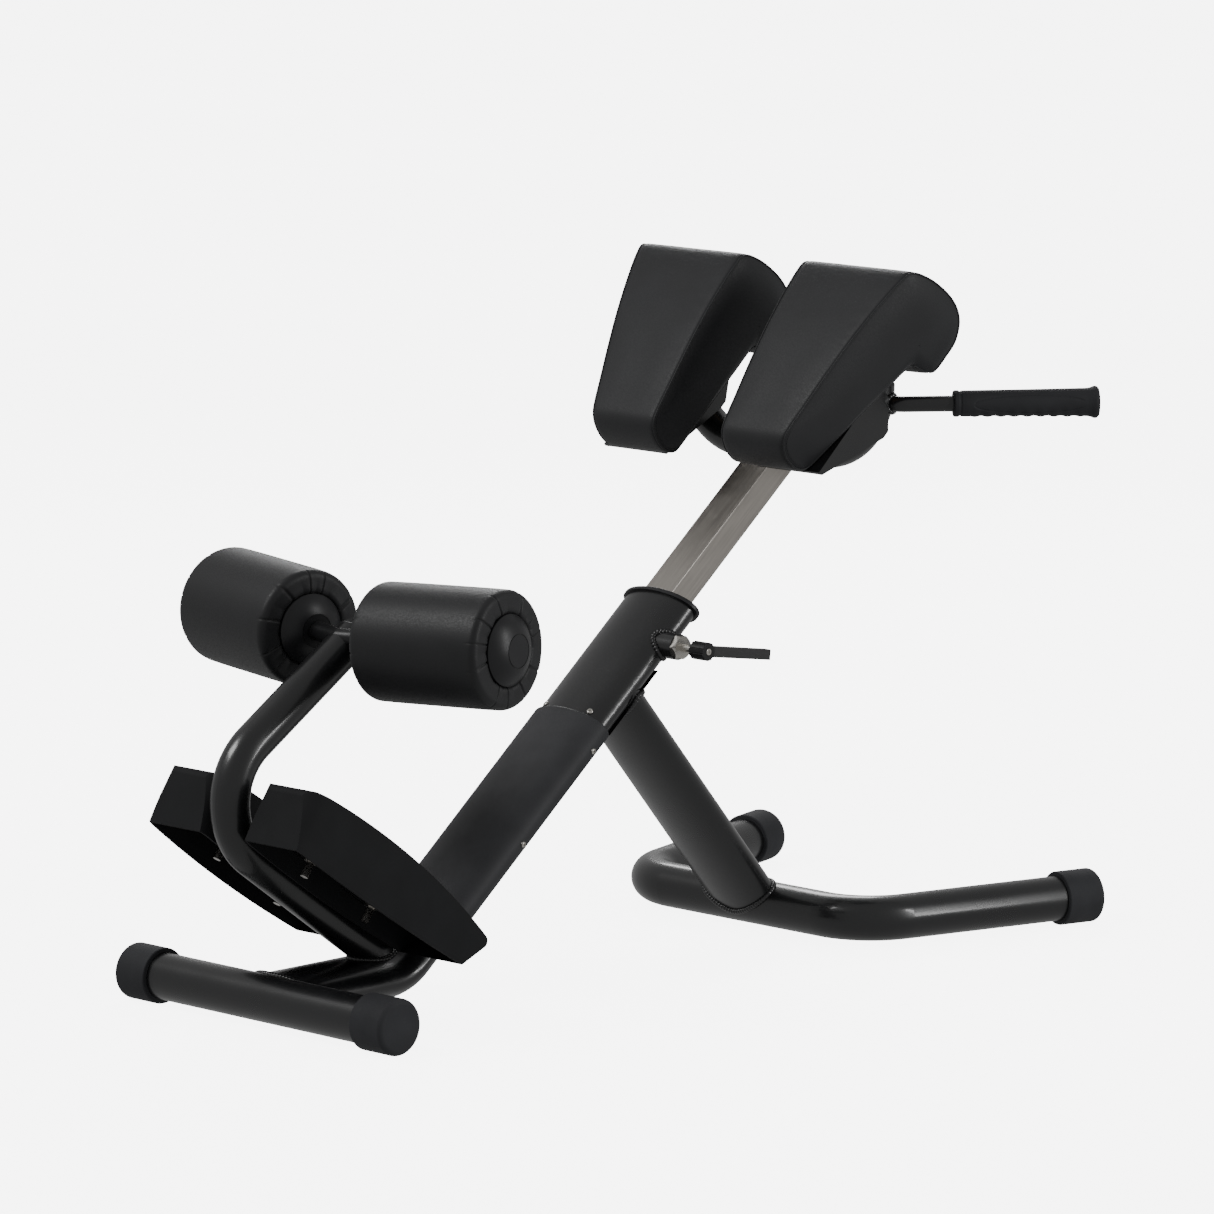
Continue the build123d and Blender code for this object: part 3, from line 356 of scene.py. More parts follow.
class Finish(Enum):
    """Every finish on the chair."""

    PAINT = GlossPaint()
    SHROUD = MouldedPlastic("charcoal_shroud", 0.030, 0.58, 1600.0, 0.06)
    NYLON = MouldedPlastic("black_nylon", 0.016, 0.42, 1200.0, 0.03)
    HUB = MouldedPlastic("hub_plastic", 0.012, 0.38, 1100.0, 0.035)
    KNOB = MouldedPlastic("lever_plastic", 0.010, 0.36, 1300.0, 0.03)
    CAP = Rubber("cap_rubber", 0.030, 0.72, 900.0, 0.09)
    TREAD = Rubber("plate_rubber", 0.0095, 0.74, 1300.0, 0.09)
    GRIP = Rubber("grip_rubber", 0.022, 0.66, 1500.0, 0.06)
    VINYL = Leatherette("black_vinyl", 0.017)
    ROLLER_VINYL = Leatherette("roller_vinyl", 0.012, 0.44, 560.0)
    THREAD = MouldedPlastic("black_thread", 0.02, 0.55, 2600.0, 0.05)
    POST = PlatedSteel("satin_nickel", colour=(0.40, 0.375, 0.345, 1.0), roughness=0.42, turn=radians(39.5))
    ZINC = PlatedSteel("bright_zinc", colour=(0.62, 0.60, 0.56, 1.0), roughness=0.24, lines=1500.0)
    OXIDE = MouldedPlastic("black_oxide", 0.008, 0.34, 1800.0, 0.02)
    PLY = Plywood()


class Workshop:
    """Builds each finish once and dresses pieces with it."""

    def __init__(self) -> None:
        """Start with no material made."""
        self.made: dict[Finish, bpy.types.Material] = {}

    def material(self, finish: Finish) -> bpy.types.Material:
        """The material of a finish."""
        if finish not in self.made:
            self.made[finish] = finish.value.make()
        return self.made[finish]

    def dress(self, obj: bpy.types.Object, *finishes: Finish) -> None:
        """Give an object its finishes, one for each material slot."""
        obj.data.materials.clear()
        for finish in finishes:
            obj.data.materials.append(self.material(finish))


SHOP = Workshop()


# ------------------------------------------------------------------ mesh building
@dataclass
class Surface:
    """Vertices and faces gathered as arrays, then put into one mesh."""

    points: list[Array] = field(default_factory=list)
    quads: list[Array] = field(default_factory=list)
    tris: list[Array] = field(default_factory=list)
    quad_slots: list[Array] = field(default_factory=list)
    tri_slots: list[Array] = field(default_factory=list)
    count: int = 0

    def grid(self, points: Array, wrap_u: bool = True, wrap_v: bool = False, slot: int = 0) -> None:
        """Add a grid of points as quads.

        Args:
            points: Array of shape (u, v, 3), in metres.
            wrap_u: Join the last row of u to the first.
            wrap_v: Join the last column of v to the first.
            slot: Material slot.
        """
        nu, nv = points.shape[:2]
        index = self.count + np.arange(nu * nv).reshape(nu, nv)
        a = index if wrap_u else index[:-1]
        b = np.roll(index, -1, 0) if wrap_u else index[1:]
        if not wrap_v:
            quads = np.stack([a[:, :-1], b[:, :-1], b[:, 1:], a[:, 1:]], -1)
        else:
            quads = np.stack([a, b, np.roll(b, -1, 1), np.roll(a, -1, 1)], -1)
        self.points.append(points.reshape(-1, 3))
        self.quads.append(quads.reshape(-1, 4))
        self.quad_slots.append(np.full(len(self.quads[-1]), slot))
        self.count += nu * nv

    def fan(self, rim: Array, centre: Array, slot: int = 0, flip: bool = False) -> None:
        """Close a ring of points with a fan to a centre point."""
        n = len(rim)
        first = self.count + np.arange(n)
        second = np.roll(first, -1)
        middle = np.full(n, self.count + n)
        order = (second, first, middle) if flip else (first, second, middle)
        self.points.append(np.vstack([rim, centre[None, :]]))
        self.tris.append(np.stack(order, -1))
        self.tri_slots.append(np.full(n, slot))
        self.count += n + 1

    def object(self, name: str, weld_mm: float = 0.02, smooth: bool = True) -> bpy.types.Object:
        """Make the object: welded, faces outwards, smooth.

        Args:
            name: The piece's name.
            weld_mm: Points closer than this are merged.
            smooth: Smooth shading.

        Returns:
            The object, linked to the scene and standing at the origin.
        """
        verts = np.vstack(self.points)
        key = np.round(verts / (weld_mm * MM)).astype(np.int64)
        _, first, inverse = np.unique(key, axis=0, return_index=True, return_inverse=True)
        verts, inverse = verts[first], inverse.reshape(-1)
        quads = inverse[np.vstack(self.quads)] if self.quads else np.empty((0, 4), np.int64)
        tris = inverse[np.vstack(self.tris)] if self.tris else np.empty((0, 3), np.int64)
        slots = np.concatenate([*self.quad_slots, *self.tri_slots]).astype(np.int32)
        faces = np.vstack([quads, np.column_stack([tris, tris[:, 2]])])
        fresh = faces != np.roll(faces, 1, 1)
        corners = fresh.sum(1)
        whole = corners > 2
        faces, fresh, corners, slots = faces[whole], fresh[whole], corners[whole], slots[whole]
        mesh = bpy.data.meshes.new(name)
        mesh.vertices.add(len(verts))
        mesh.vertices.foreach_set("co", verts.ravel())
        mesh.loops.add(int(corners.sum()))
        mesh.loops.foreach_set("vertex_index", faces[fresh].astype(np.int32))
        mesh.polygons.add(len(faces))
        starts = np.concatenate([[0], np.cumsum(corners)[:-1]])
        mesh.polygons.foreach_set("loop_start", starts.astype(np.int32))
        mesh.polygons.foreach_set("material_index", slots)
        mesh.update(calc_edges=True)
        mesh.polygons.foreach_set("use_smooth", np.full(len(faces), smooth))
        mesh.validate()
        obj = bpy.data.objects.new(name, mesh)
        bpy.context.scene.collection.objects.link(obj)
        outward(obj)
        return obj


def outward(obj: bpy.types.Object) -> None:
    """Turn every face of an object outwards."""
    work = bmesh.new()
    work.from_mesh(obj.data)
    bmesh.ops.recalc_face_normals(work, faces=work.faces)
    work.to_mesh(obj.data)
    work.free()


def unit(vectors: Array) -> Array:
    """Vectors scaled to length one."""
    return vectors / np.maximum(np.linalg.norm(vectors, axis=-1, keepdims=True), 1e-12)


def closed_curve(knots: Array, count: int) -> Array:
    """A smooth closed curve through every knot.

    Between knots p1 and p2 the curve is a cubic whose end tangents are (p2 - p0) / 2 and
    (p3 - p1) / 2, each scaled by the ratio of chord lengths so that close knots do not overshoot.

    Args:
        knots: Array (n, d) of the points that the curve passes through.
        count: Number of points returned, evenly spaced by arc length.

    Returns:
        Array (count, d).
    """
    p1 = np.asarray(knots, float)
    p0, p2, p3 = np.roll(p1, 1, 0), np.roll(p1, -1, 0), np.roll(p1, -2, 0)
    chord = np.linalg.norm(p2 - p1, axis=1, keepdims=True)
    before, after = np.roll(chord, 1, 0), np.roll(chord, -1, 0)
    leave = (p2 - p0) * chord / (before + chord)
    arrive = (p3 - p1) * chord / (chord + after)
    t = np.linspace(0.0, 1.0, 24, endpoint=False)[:, None, None]
    curve = ((2 * t**3 - 3 * t**2 + 1) * p1 + (t**3 - 2 * t**2 + t) * leave
             + (3 * t**2 - 2 * t**3) * p2 + (t**3 - t**2) * arrive)
    return spread(curve.transpose(1, 0, 2).reshape(-1, p1.shape[1]), count)


def spread(points: Array, count: int, closed: bool = True) -> Array:
    """Points evenly spaced by arc length along a polyline."""
    path = np.vstack([points, points[:1]]) if closed else points
    steps = np.linalg.norm(np.diff(path, axis=0), axis=1)
    along = np.concatenate([[0.0], np.cumsum(steps)])
    places = np.linspace(0.0, along[-1], count, endpoint=not closed)
    return np.stack([np.interp(places, along, path[:, k]) for k in range(path.shape[1])], 1)


def bead(surface: Surface, path: Array, radius: float, ripple: float = 0.0, pitch: float = 0.004,
         around: int = 8, closed: bool = True, slot: int = 0) -> None:
    """Carry a round section along a path: each ring is centre plus radius times two cross vectors.

    The radius may swell and shrink along the path as a welder's ripples do.

    Args:
        surface: Where the tube goes.
        path: Array (n, 3) of centres, in metres.
        radius: The section's radius, in metres.
        ripple: Part of the radius that the ripples take.
        pitch: Spacing of the ripples, in metres.
        around: Points around the section.
        closed: Whether the path is a loop.
        slot: Material slot.
    """
    if closed:
        tangent = unit(np.roll(path, -1, 0) - np.roll(path, 1, 0))
    else:
        tangent = unit(np.gradient(path, axis=0))
    lead = path - path.mean(0)
    side = unit(np.cross(tangent, lead + 1e-9))
    other = np.cross(tangent, side)
    steps = np.linalg.norm(np.diff(path, axis=0, append=path[:1]), axis=1)
    along = np.concatenate([[0.0], np.cumsum(steps)[:-1]])
    turns = max(1, round(steps.sum() / pitch))
    phase = 2 * pi * turns * along / steps.sum()
    size = radius * (1.0 + ripple * np.abs(np.sin(phase / 2)))
    angle = np.linspace(0, 2 * pi, around, endpoint=False)
    ring = side[:, None] * np.cos(angle)[None, :, None] + other[:, None] * np.sin(angle)[None, :, None]
    rings = path[:, None] + ring * size[:, None, None]
    surface.grid(rings, wrap_u=closed, wrap_v=True, slot=slot)
    if not closed:
        surface.fan(rings[0], path[0], slot)
        surface.fan(rings[-1], path[-1], slot, flip=True)


def turned(surface: Surface, origin: Array, axis: Array, profile: Array, around: int = 64, slot: int = 0,
           dent: Callable[[Array, Array], Array] | None = None) -> None:
    """Turn a profile about an axis: point = origin + axis times height + radius times a spoke.

    Args:
        surface: Where it goes.
        origin: A point on the axis.
        axis: The axis.
        profile: Array (n, 2) of radius and height, in metres.
        around: Points around.
        slot: Material slot.
        dent: Optional change of radius and height, from angle and profile place, as (radius, height).
    """
    axis = unit(np.asarray(axis, float))
    first = unit(np.cross(axis, np.array([0.0, 0.0, 1.0])))
    second = np.cross(axis, first)
    angle = np.linspace(0, 2 * pi, around, endpoint=False)
    spoke = first * np.cos(angle)[:, None] + second * np.sin(angle)[:, None]
    radius = np.broadcast_to(profile[:, 0], (around, len(profile))).copy()
    height = np.broadcast_to(profile[:, 1], (around, len(profile))).copy()
    if dent:
        change = dent(angle[:, None] + 0 * radius, np.arange(len(profile))[None, :] + 0 * radius)
        radius += change[0]
        height += change[1]
    points = origin + axis * height[..., None] + spoke[:, None] * radius[..., None]
    surface.grid(points, wrap_u=True, wrap_v=False, slot=slot)


def swell(obj: bpy.types.Object, pinned: Array, pressure: float, cap: float, frames: int = 16) -> None:
    """Inflate a closed cover by cloth simulation, then keep the result in the mesh.

    Pinned points stay; every other point moves as far as the cloth takes it, at most the cap.

    Args:
        obj: The cover.
        pinned: Mask of the points that are held.
        pressure: Air pressure inside.
        cap: The furthest that a point may move, in metres.
        frames: How many frames are simulated.
    """
    mesh = obj.data
    start = np.empty(len(mesh.vertices) * 3)
    mesh.vertices.foreach_get("co", start)
    start = start.reshape(-1, 3)
    group = obj.vertex_groups.new(name="held")
    group.add(np.nonzero(pinned)[0].tolist(), 1.0, "REPLACE")
    cloth = obj.modifiers.new("Cloth", "CLOTH")
    settings = cloth.settings
    settings.quality = 5
    settings.mass = 0.3
    settings.tension_stiffness = 25.0
    settings.compression_stiffness = 25.0
    settings.bending_stiffness = 25.0
    settings.vertex_group_mass = "held"
    settings.use_pressure = True
    settings.uniform_pressure_force = pressure
    settings.effector_weights.gravity = 0.0
    cloth.collision_settings.use_collision = False
    cloth.point_cache.frame_start = 1
    cloth.point_cache.frame_end = frames
    scene = bpy.context.scene
    for step in range(1, frames + 1):
        scene.frame_set(step)
    result = obj.evaluated_get(bpy.context.evaluated_depsgraph_get()).data
    after = np.empty(len(start) * 3)
    result.vertices.foreach_get("co", after)
    move = after.reshape(-1, 3) - start
    length = np.linalg.norm(move, axis=1, keepdims=True)
    move *= np.minimum(1.0, cap / np.maximum(length, 1e-9))
    obj.modifiers.remove(cloth)
    obj.vertex_groups.clear()
    mesh.vertices.foreach_set("co", (start + move).ravel())
    mesh.update()
    scene.frame_set(1)
    log.info("%s swelled by up to %.1f mm", obj.name, 1000 * float(length.max()))


def place(obj: bpy.types.Object, body: Body, finishes: Iterable[Finish], slot: str,
          nodes: Iterable[str] = ()) -> bpy.types.Object:
    """Dress a new piece, let it ride on its body and hide the nodes it stands for."""
    SHOP.dress(obj, *finishes)
    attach(obj, body.value)
    if nodes:
        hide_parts(*nodes)
    log.info("%s rides on %s, %d faces", obj.name, body.value, len(obj.data.polygons))
    return obj


# ------------------------------------------------------------------ places on the chair
TUBE_Z = 35.4
FOOT_X = -573.72
ELBOW = np.array([FOOT_X + 201.5, 0.0, TUBE_Z])
TILT = radians(39.5)
MAIN_DIR = np.array([cos(TILT), 0.0, sin(TILT)])
MAIN_UP = np.array([-sin(TILT), 0.0, cos(TILT)])
OVAL = (60.0, 28.0)


def on_main(s: float, y: float = 0.0, n: float = 0.0) -> Array:
    """Point s up the main tube's axis in millimetres, y across and n above it."""
    return ELBOW + MAIN_DIR * s + np.array([0.0, y, 0.0]) + MAIN_UP * n


@dataclass(frozen=True)
class PadFrame:
    """The left hip pad's own axes: s up its base, t off its base, y across."""

    x: float = FOOT_X + 803.0
    z: float = 641.4
    tilt: float = 42.0
    flare: float = 15.1

    def world(self, s: Array, t: Array, y: Array) -> Array:
        """Points in millimetres from pad coordinates."""
        a = radians(self.tilt)
        return np.stack([self.x + s * cos(a) - t * sin(a), y + 0 * s, self.z + s * sin(a) + t * cos(a)], -1)

    def outer(self, s: Array) -> Array:
        """Outer edge, which flares towards the rear."""
        return 175.6 + s * tan(radians(self.flare))

    def inner(self, s: Array) -> Array:
        """Inner edge, nearly straight."""
        return 62.0 - 7.0 * s / 256.0


@dataclass
class HipPad:
    """A hip pad: wrap-around face panel, two side panels, welted and stitched seams."""

    side: Side
    frame: PadFrame = PadFrame()
    outline: tuple = (
        (-4.0, 1.0), (-13.0, 6.0), (-20.0, 18.0), (-21.5, 38.0), (-16.0, 55.5), (-6.0, 65.5),
        (8.0, 70.5), (40.0, 78.0), (86.5, 89.0), (140.0, 100.0), (196.5, 107.8), (238.0, 110.2),
        (253.0, 107.2), (263.0, 94.0), (274.5, 64.2), (280.0, 26.0), (273.0, -2.5), (253.0, -22.8),
        (231.0, -30.0), (206.0, -34.0), (196.0, -26.5), (190.0, -14.0), (186.0, -2.5), (178.0, 1.0),
        (140.0, 1.0), (90.0, 1.0), (40.0, 1.0),
    )
    around: int = 190
    across: int = 30
    hub: tuple = (205.0, 22.0)
    edge: float = 8.0
    seam_inset: float = 1.6
    side_bulge: float = 8.0

    def ring(self, inset: float) -> Array:
        """The side outline drawn in by an inset along its own normals, in millimetres."""
        curve = closed_curve(np.array(self.outline), self.around)
        tangent = unit(np.roll(curve, -1, 0) - np.roll(curve, 1, 0))
        inward = np.stack([tangent[:, 1], -tangent[:, 0]], 1)
        return curve + inward * inset

    def point(self, ring: Array, share: Array, push: Array | float = 0.0) -> Array:
        """Points of a ring at a share of the width, from the inner edge to the outer edge."""
        inner, outer = self.frame.inner(ring[..., 0]), self.frame.outer(ring[..., 0])
        y = inner + (outer - inner) * share + push
        world = self.frame.world(ring[..., 0], ring[..., 1], y)
        world[..., 1] *= self.side.value
        return world * MM

    def cover(self) -> Surface:
        """The closed cover: face band, rounded shoulders, seams, then panels drawn to their middle.

        Across the band the outline swells by a crown of 1 - (2v - 1) to the fourth. Each side panel
        is the outline scaled towards a hub, and stands out by 1 - r squared.
        """
        made = Surface()
        shares = np.linspace(0.0, 1.0, self.across)
        shoulder = np.clip(1.0 - np.minimum(shares, 1.0 - shares) * 140.0 / self.edge, 0.0, 1.0)
        rows = []
        for share, drop in zip(shares, shoulder):
            inset = self.seam_inset * (1.0 - np.sqrt(np.maximum(0.0, 1.0 - drop**2)))
            crown = 0.6 * (1.0 - (2.0 * share - 1.0) ** 4)
            rows.append(self.point(self.ring(inset - crown), np.float64(share)))
        made.grid(np.stack(rows, 1))
        rim = self.ring(self.seam_inset)
        hub = np.array(self.hub)
        scale = 1.0 - np.linspace(0.0, 1.0, 22)[:-1] ** 1.15
        for share, way in ((0.0, -1.0), (1.0, 1.0)):
            rings = hub + (rim - hub) * scale[:, None, None]
            bulge = self.side_bulge * (1.0 - scale**4)
            points = self.point(rings, np.float64(share), way * bulge[:, None])
            made.grid(points.transpose(1, 0, 2), wrap_u=True)
            last = points[-1]
            made.fan(last, last.mean(0))
        return made

    def seam_line(self, share: float, inset: float = 0.0, push: float = 0.0) -> Array:
        """A line along a seam, moved in along the side panel or out across it."""
        return self.point(self.ring(self.seam_inset + inset), np.float64(share), push)

    def build(self) -> None:
        """Make the cover, its welts and its stitches."""
        word = self.side.word
        cover = self.cover().object(f"pad_cover_{word}")
        co = np.empty(len(cover.data.vertices) * 3)
        cover.data.vertices.foreach_get("co", co)
        co = co.reshape(-1, 3) / MM
        a = radians(self.frame.tilt)
        s = (co[:, 0] - self.frame.x) * cos(a) + (co[:, 2] - self.frame.z) * sin(a)
        t = -(co[:, 0] - self.frame.x) * sin(a) + (co[:, 2] - self.frame.z) * cos(a)
        y = np.abs(co[:, 1])
        panel = (y > self.frame.outer(s) + 0.2) | (y < self.frame.inner(s) - 0.2)
        seam = np.vstack([self.seam_line(0.0), self.seam_line(1.0)]) / MM
        near = np.zeros(len(co), bool)
        for chunk in np.array_split(np.arange(len(co)), 40):
            gap = np.linalg.norm(co[chunk, None] - seam[None], axis=2).min(1)
            near[chunk] = gap < 1.2
        swell(cover, near | panel | (t < 3.0), 3.0, 2.0 * MM)
        place(cover, Body.HEAD, (Finish.VINYL,), "leatherette", (f"pad_{word}",))
        trim = Surface()
        for share, way in ((0.0, -1.0), (1.0, 1.0)):
            bead(trim, self.seam_line(share, 0.0, way * 0.2), 1.25 * MM, around=8)
        place(trim.object(f"pad_welt_{word}"), Body.HEAD, (Finish.VINYL,), "leatherette")
        thread = Surface()
        for share, way in ((0.0, -1.0), (1.0, 1.0)):
            stitches(thread, self.seam_line(share, 4.2, way * 1.1), 3.4 * MM, 0.38 * MM)
        place(thread.object(f"pad_stitching_{word}"), Body.HEAD, (Finish.THREAD,), "leatherette")


def stitches(surface: Surface, line: Array, pitch: float, radius: float) -> None:
    """Short threads along a line, one for each pitch, each an ellipsoid 0.38 of a pitch long.

    Every thread is the same small grid, placed by its middle and its direction.

    Args:
        surface: Where the threads go.
        line: Closed line that they follow, in metres.
        pitch: Spacing, in metres.
        radius: Thread radius, in metres.
    """
    length = np.linalg.norm(np.diff(line, axis=0, append=line[:1]), axis=1).sum()
    count = int(length / pitch)
    middle = spread(line, count)
    ahead = unit(np.roll(middle, -1, 0) - np.roll(middle, 1, 0))
    side = unit(np.cross(ahead, np.array([0.0, 1.0, 0.0])))
    other = np.cross(ahead, side)
    lat = np.linspace(-pi / 2, pi / 2, 5)
    lon = np.linspace(0, 2 * pi, 6, endpoint=False)
    body = np.stack(np.broadcast_arrays(
        np.sin(lat)[None, :] * pitch * 0.38, np.cos(lat) * np.cos(lon)[:, None] * radius,
        np.cos(lat) * np.sin(lon)[:, None] * radius), -1)
    basis = np.stack([ahead, side, other], 1)
    for index in range(count):
        surface.grid(middle[index] + body @ basis[index], wrap_u=True)


@dataclass
class AnkleRoller:
    """A foam ankle roller: one cylinder of vinyl gathered in pleats round each end's hub."""

    side: Side
    splay: float = 9.5
    rise: float = 2.0
    centre: tuple = (FOOT_X + 131.4, 0.0, 475.4)
    middle: float = 164.0
    half: float = 97.5
    radius: float = 74.9
    hub: float = 46.0
    pleats: int = 11

    @property
    def axis(self) -> Array:
        """The roller's axis, outwards."""
        s, r = radians(self.splay), radians(self.rise)
        return np.array([sin(s) * cos(r), cos(s) * cos(r) * self.side.value, sin(r)])

    @property
    def body(self) -> Body:
        """The body that the roller turns with."""
        return Body.ROLLER_LEFT if self.side is Side.LEFT else Body.ROLLER_RIGHT

    def profile(self) -> Array:
        """Radius and height from one hub over the round shoulders to the other hub."""
        turn = np.linspace(0.0, pi / 2, 12)
        r = 9.5
        lip = np.array([[self.hub - 3.0, self.half - 7.5], [self.hub - 0.5, self.half - 4.0],
                        [self.hub + 1.5, self.half - 1.2], [self.hub + 5.0, self.half],
                        [self.radius - r - 5.0, self.half]])
        shoulder = np.stack([self.radius - r + r * np.sin(turn), self.half - r + r * np.cos(turn)], 1)
        half = np.vstack([lip, shoulder])
        belly = [[self.radius + 0.3, self.half - 30.0], [self.radius + 0.4, self.half - 60.0]]
        half = np.vstack([half, belly])
        dense = spread(half, 46, closed=False)
        other = dense[::-1] * np.array([1.0, -1.0])
        return np.vstack([dense, other])

    def pleat(self, angle: Array, place: Array) -> tuple[Array, Array]:
        """Sink narrow creases into both end faces and let the cover puff between them.

        The crease is exp of minus the squared distance to the nearest pleat line; it is deepest at
        the hub and fades over the shoulder. The lines are unevenly spaced and slightly slanted.

        Returns:
            The change of radius and of height.
        """
        line = self.profile()
        radius, height = line[:, 0][place.astype(int)], line[:, 1][place.astype(int)]
        end = np.sign(height)
        share = np.clip((self.radius + 2.0 - radius) / (self.radius - self.hub), 0.0, 1.0)
        off_end = np.clip((np.abs(height) - (self.half - 16.0)) / 14.0, 0.0, 1.0)
        wobble = 0.13 * np.sin(3 * angle + 1.7 * end) + 0.07 * np.sin(5 * angle + 0.6)
        phase = (angle + wobble + 0.05 * share * end) * self.pleats / (2 * pi) + 0.3 * (end > 0)
        near = (phase - np.round(phase)) * 2 * pi / self.pleats * radius
        crease = np.exp(-((near / 1.15) ** 2)) * off_end
        puff = np.cos(pi * (phase - np.round(phase))) * share * off_end
        drop = 2.6 * crease * (0.35 + 0.65 * share) - 1.6 * puff * share
        return -0.9 * crease * (1.0 - share), -end * drop

    def build(self) -> None:
        """Make the cover and its end discs."""
        origin = np.array(self.centre) + self.axis * self.middle
        made = Surface()
        line = self.profile()
        shaped = self.pleat

        def dent(angle: Array, place: Array) -> tuple[Array, Array]:
            """The pleats in metres."""
            dr, dh = shaped(angle, place)
            return dr * MM, dh * MM

        turned(made, origin * MM, self.axis, line * MM, around=440, dent=dent)
        inner = np.array([[self.hub - 3.0, self.half - 7.5], [22.5, self.half - 7.5],
                          [22.5, -self.half + 7.5], [self.hub - 3.0, -self.half + 7.5]])
        turned(made, origin * MM, self.axis, inner * MM, around=440)
        cover = made.object(f"roller_cover_{self.side.word}")
        place(cover, self.body, (Finish.ROLLER_VINYL,), "leatherette", (f"roller_foam_{self.side.word}",))


@dataclass
class HandGrip:
    """A moulded rubber grip: flared butt, curved palm groove, finger waves underneath."""

    side: Side
    length: float = 188.0
    flare: float = 40.0
    end: tuple = (0.0, 0.0, 712.0)
    bore: float = 10.7
    palm_radius: float = 17.5
    arch_middle: float = 88.0
    arch_half: float = 74.0
    tube_length: float = 258.0

    def __post_init__(self) -> None:
        """Work out where the tube ends."""
        cradle_x = FOOT_X + 937.4
        a = radians(self.flare)
        along, out = self.tube_length * cos(a), self.tube_length * sin(a)
        self.end = (cradle_x + 7.0 + along, 169.5 + 32.0 + out, 712.0)

    def build(self) -> None:
        """Make the grip as radius = profile + waves - groove, over angle and distance from the butt.

        The waves are a cosine under the hand. The groove follows an arch in the unrolled surface:
        its distance to the arch sets the depth.
        """
        a = radians(self.flare)
        sign = self.side.value
        axis = np.array([-cos(a), -sin(a) * sign, 0.0])
        start = np.array([self.end[0], self.end[1] * sign, self.end[2]])
        across = np.cross(axis, np.array([0.0, 0.0, 1.0]))
        length = self.length
        knots = np.array([
            [-4.5, 0.0], [-4.5, 14.0], [-3.6, 18.6], [-1.5, 20.8], [1.0, 21.4], [3.5, 20.9], [7.0, 19.4],
            [12.0, 18.6], [60.0, 18.0], [120.0, 17.5], [length - 16.0, 17.2], [length - 11.0, 17.0],
            [length - 9.5, 16.2], [length - 8.0, 16.2], [length - 6.5, 17.5], [length - 2.0, 17.5],
            [length - 0.4, 16.6], [length, 15.0], [length, self.bore],
        ])
        line = spread(knots, 330, closed=False)
        angle = np.linspace(0, 2 * pi, 120, endpoint=False)
        u, radius = line[:, 0][None, :], line[:, 1][None, :].copy()
        body = np.clip((u - 14.0) / 8.0, 0, 1) * np.clip((length - 20.0 - u) / 8.0, 0, 1)
        under = np.clip(-np.cos(angle), 0, 1)[:, None] ** 1.5
        waves = 0.75 * np.cos(2 * pi * (u - 20.0) / 17.5) * under * body
        from_top = np.abs(((angle + pi) % (2 * pi)) - pi)[:, None] * self.palm_radius
        facing = np.abs(from_top - pi / 2 * self.palm_radius)
        off_middle = (u - self.arch_middle) / self.arch_half
        arch = 13.0 * np.sqrt(np.clip(1.0 - off_middle**2, 0, 1)) + 0.001
        gap = np.abs(facing - arch)
        groove = 0.9 * np.exp(-((gap / 0.9) ** 2)) * (np.abs(off_middle) < 1.0)
        step = -0.45 * (facing < arch) * (np.abs(off_middle) < 0.986)
        radius = radius + waves - groove * body + step * body
        spoke = np.cos(angle)[:, None] * np.array([0.0, 0.0, 1.0]) + np.sin(angle)[:, None] * across
        points = start + axis * u[..., None] + spoke[:, None] * radius[..., None]
        made = Surface()
        made.grid(points * MM, wrap_u=True)
        inside = np.array([[length, self.bore], [0.2, self.bore], [0.2, 0.0]])
        bore_line = start + axis * inside[:, 0][None, :, None] + spoke[:, None] * inside[:, 1][None, :, None]
        made.grid(bore_line * MM, wrap_u=True)
        grip = made.object(f"grip_moulding_{self.side.word}")
        place(grip, Body.HEAD, (Finish.GRIP,), "grip_rubber", (f"grip_{self.side.word}",))


# ------------------------------------------------------------------ weld beads
def beam_depth(points: Array) -> Array:
    """How far outside the bent oval main tube a point is: below 0 is inside.

    The tube's middle line runs level, turns on an arc and climbs; n is the distance off that line
    and the value is (y / 60) squared + (n / 28) squared - 1.
    """
    bend = 75.0
    cut = bend * tan(TILT / 2)
    x, y, z = points[..., 0] - ELBOW[0], points[..., 1], points[..., 2] - TUBE_Z
    level = z
    slope = -x * sin(TILT) + z * cos(TILT)
    along = x * cos(TILT) + z * sin(TILT)
    arc = bend - np.hypot(x + cut, z - bend)
    n = np.where(x < -cut, level, np.where(along > cut, slope, arc))
    return (y / OVAL[0]) ** 2 + (n / OVAL[1]) ** 2 - 1.0


def rod_depth(start: Array, direction: Array, radius: float) -> Callable[[Array], Array]:
    """A function that is below 0 inside a round bar and above 0 outside."""
    direction = unit(np.asarray(direction, float))

    def depth(points: Array) -> Array:
        """Distance from the bar's surface."""
        off = points - start
        off = off - (off @ direction)[..., None] * direction
        return np.linalg.norm(off, axis=-1) - radius

    return depth


def weld_line(starts: Array, direction: Array, depth: Callable[[Array], Array], reach: float) -> Array:
    """Where lines leave a body: each is halved 30 times between inside and outside.

    Args:
        starts: Array (n, 3) of points inside the body, in millimetres.
        direction: The way that the lines go.
        depth: Below 0 inside the body.
        reach: Distance at which every line is outside.

    Returns:
        Array (n, 3).
    """
    low = np.zeros(len(starts))
    high = np.full(len(starts), reach)
    for _ in range(30):
        mid = (low + high) / 2
        inside = depth(starts + direction * mid[:, None]) < 0
        low, high = np.where(inside, mid, low), np.where(inside, high, mid)
    return starts + direction * high[:, None]


def section(centre: Array, first: Array, second: Array, half: tuple[float, float], count: int = 150) -> Array:
    """An ellipse about a centre, half[0] along first and half[1] along second."""
    angle = np.linspace(0, 2 * pi, count, endpoint=False)[:, None]
    return centre + first * half[0] * np.cos(angle) + second * half[1] * np.sin(angle)


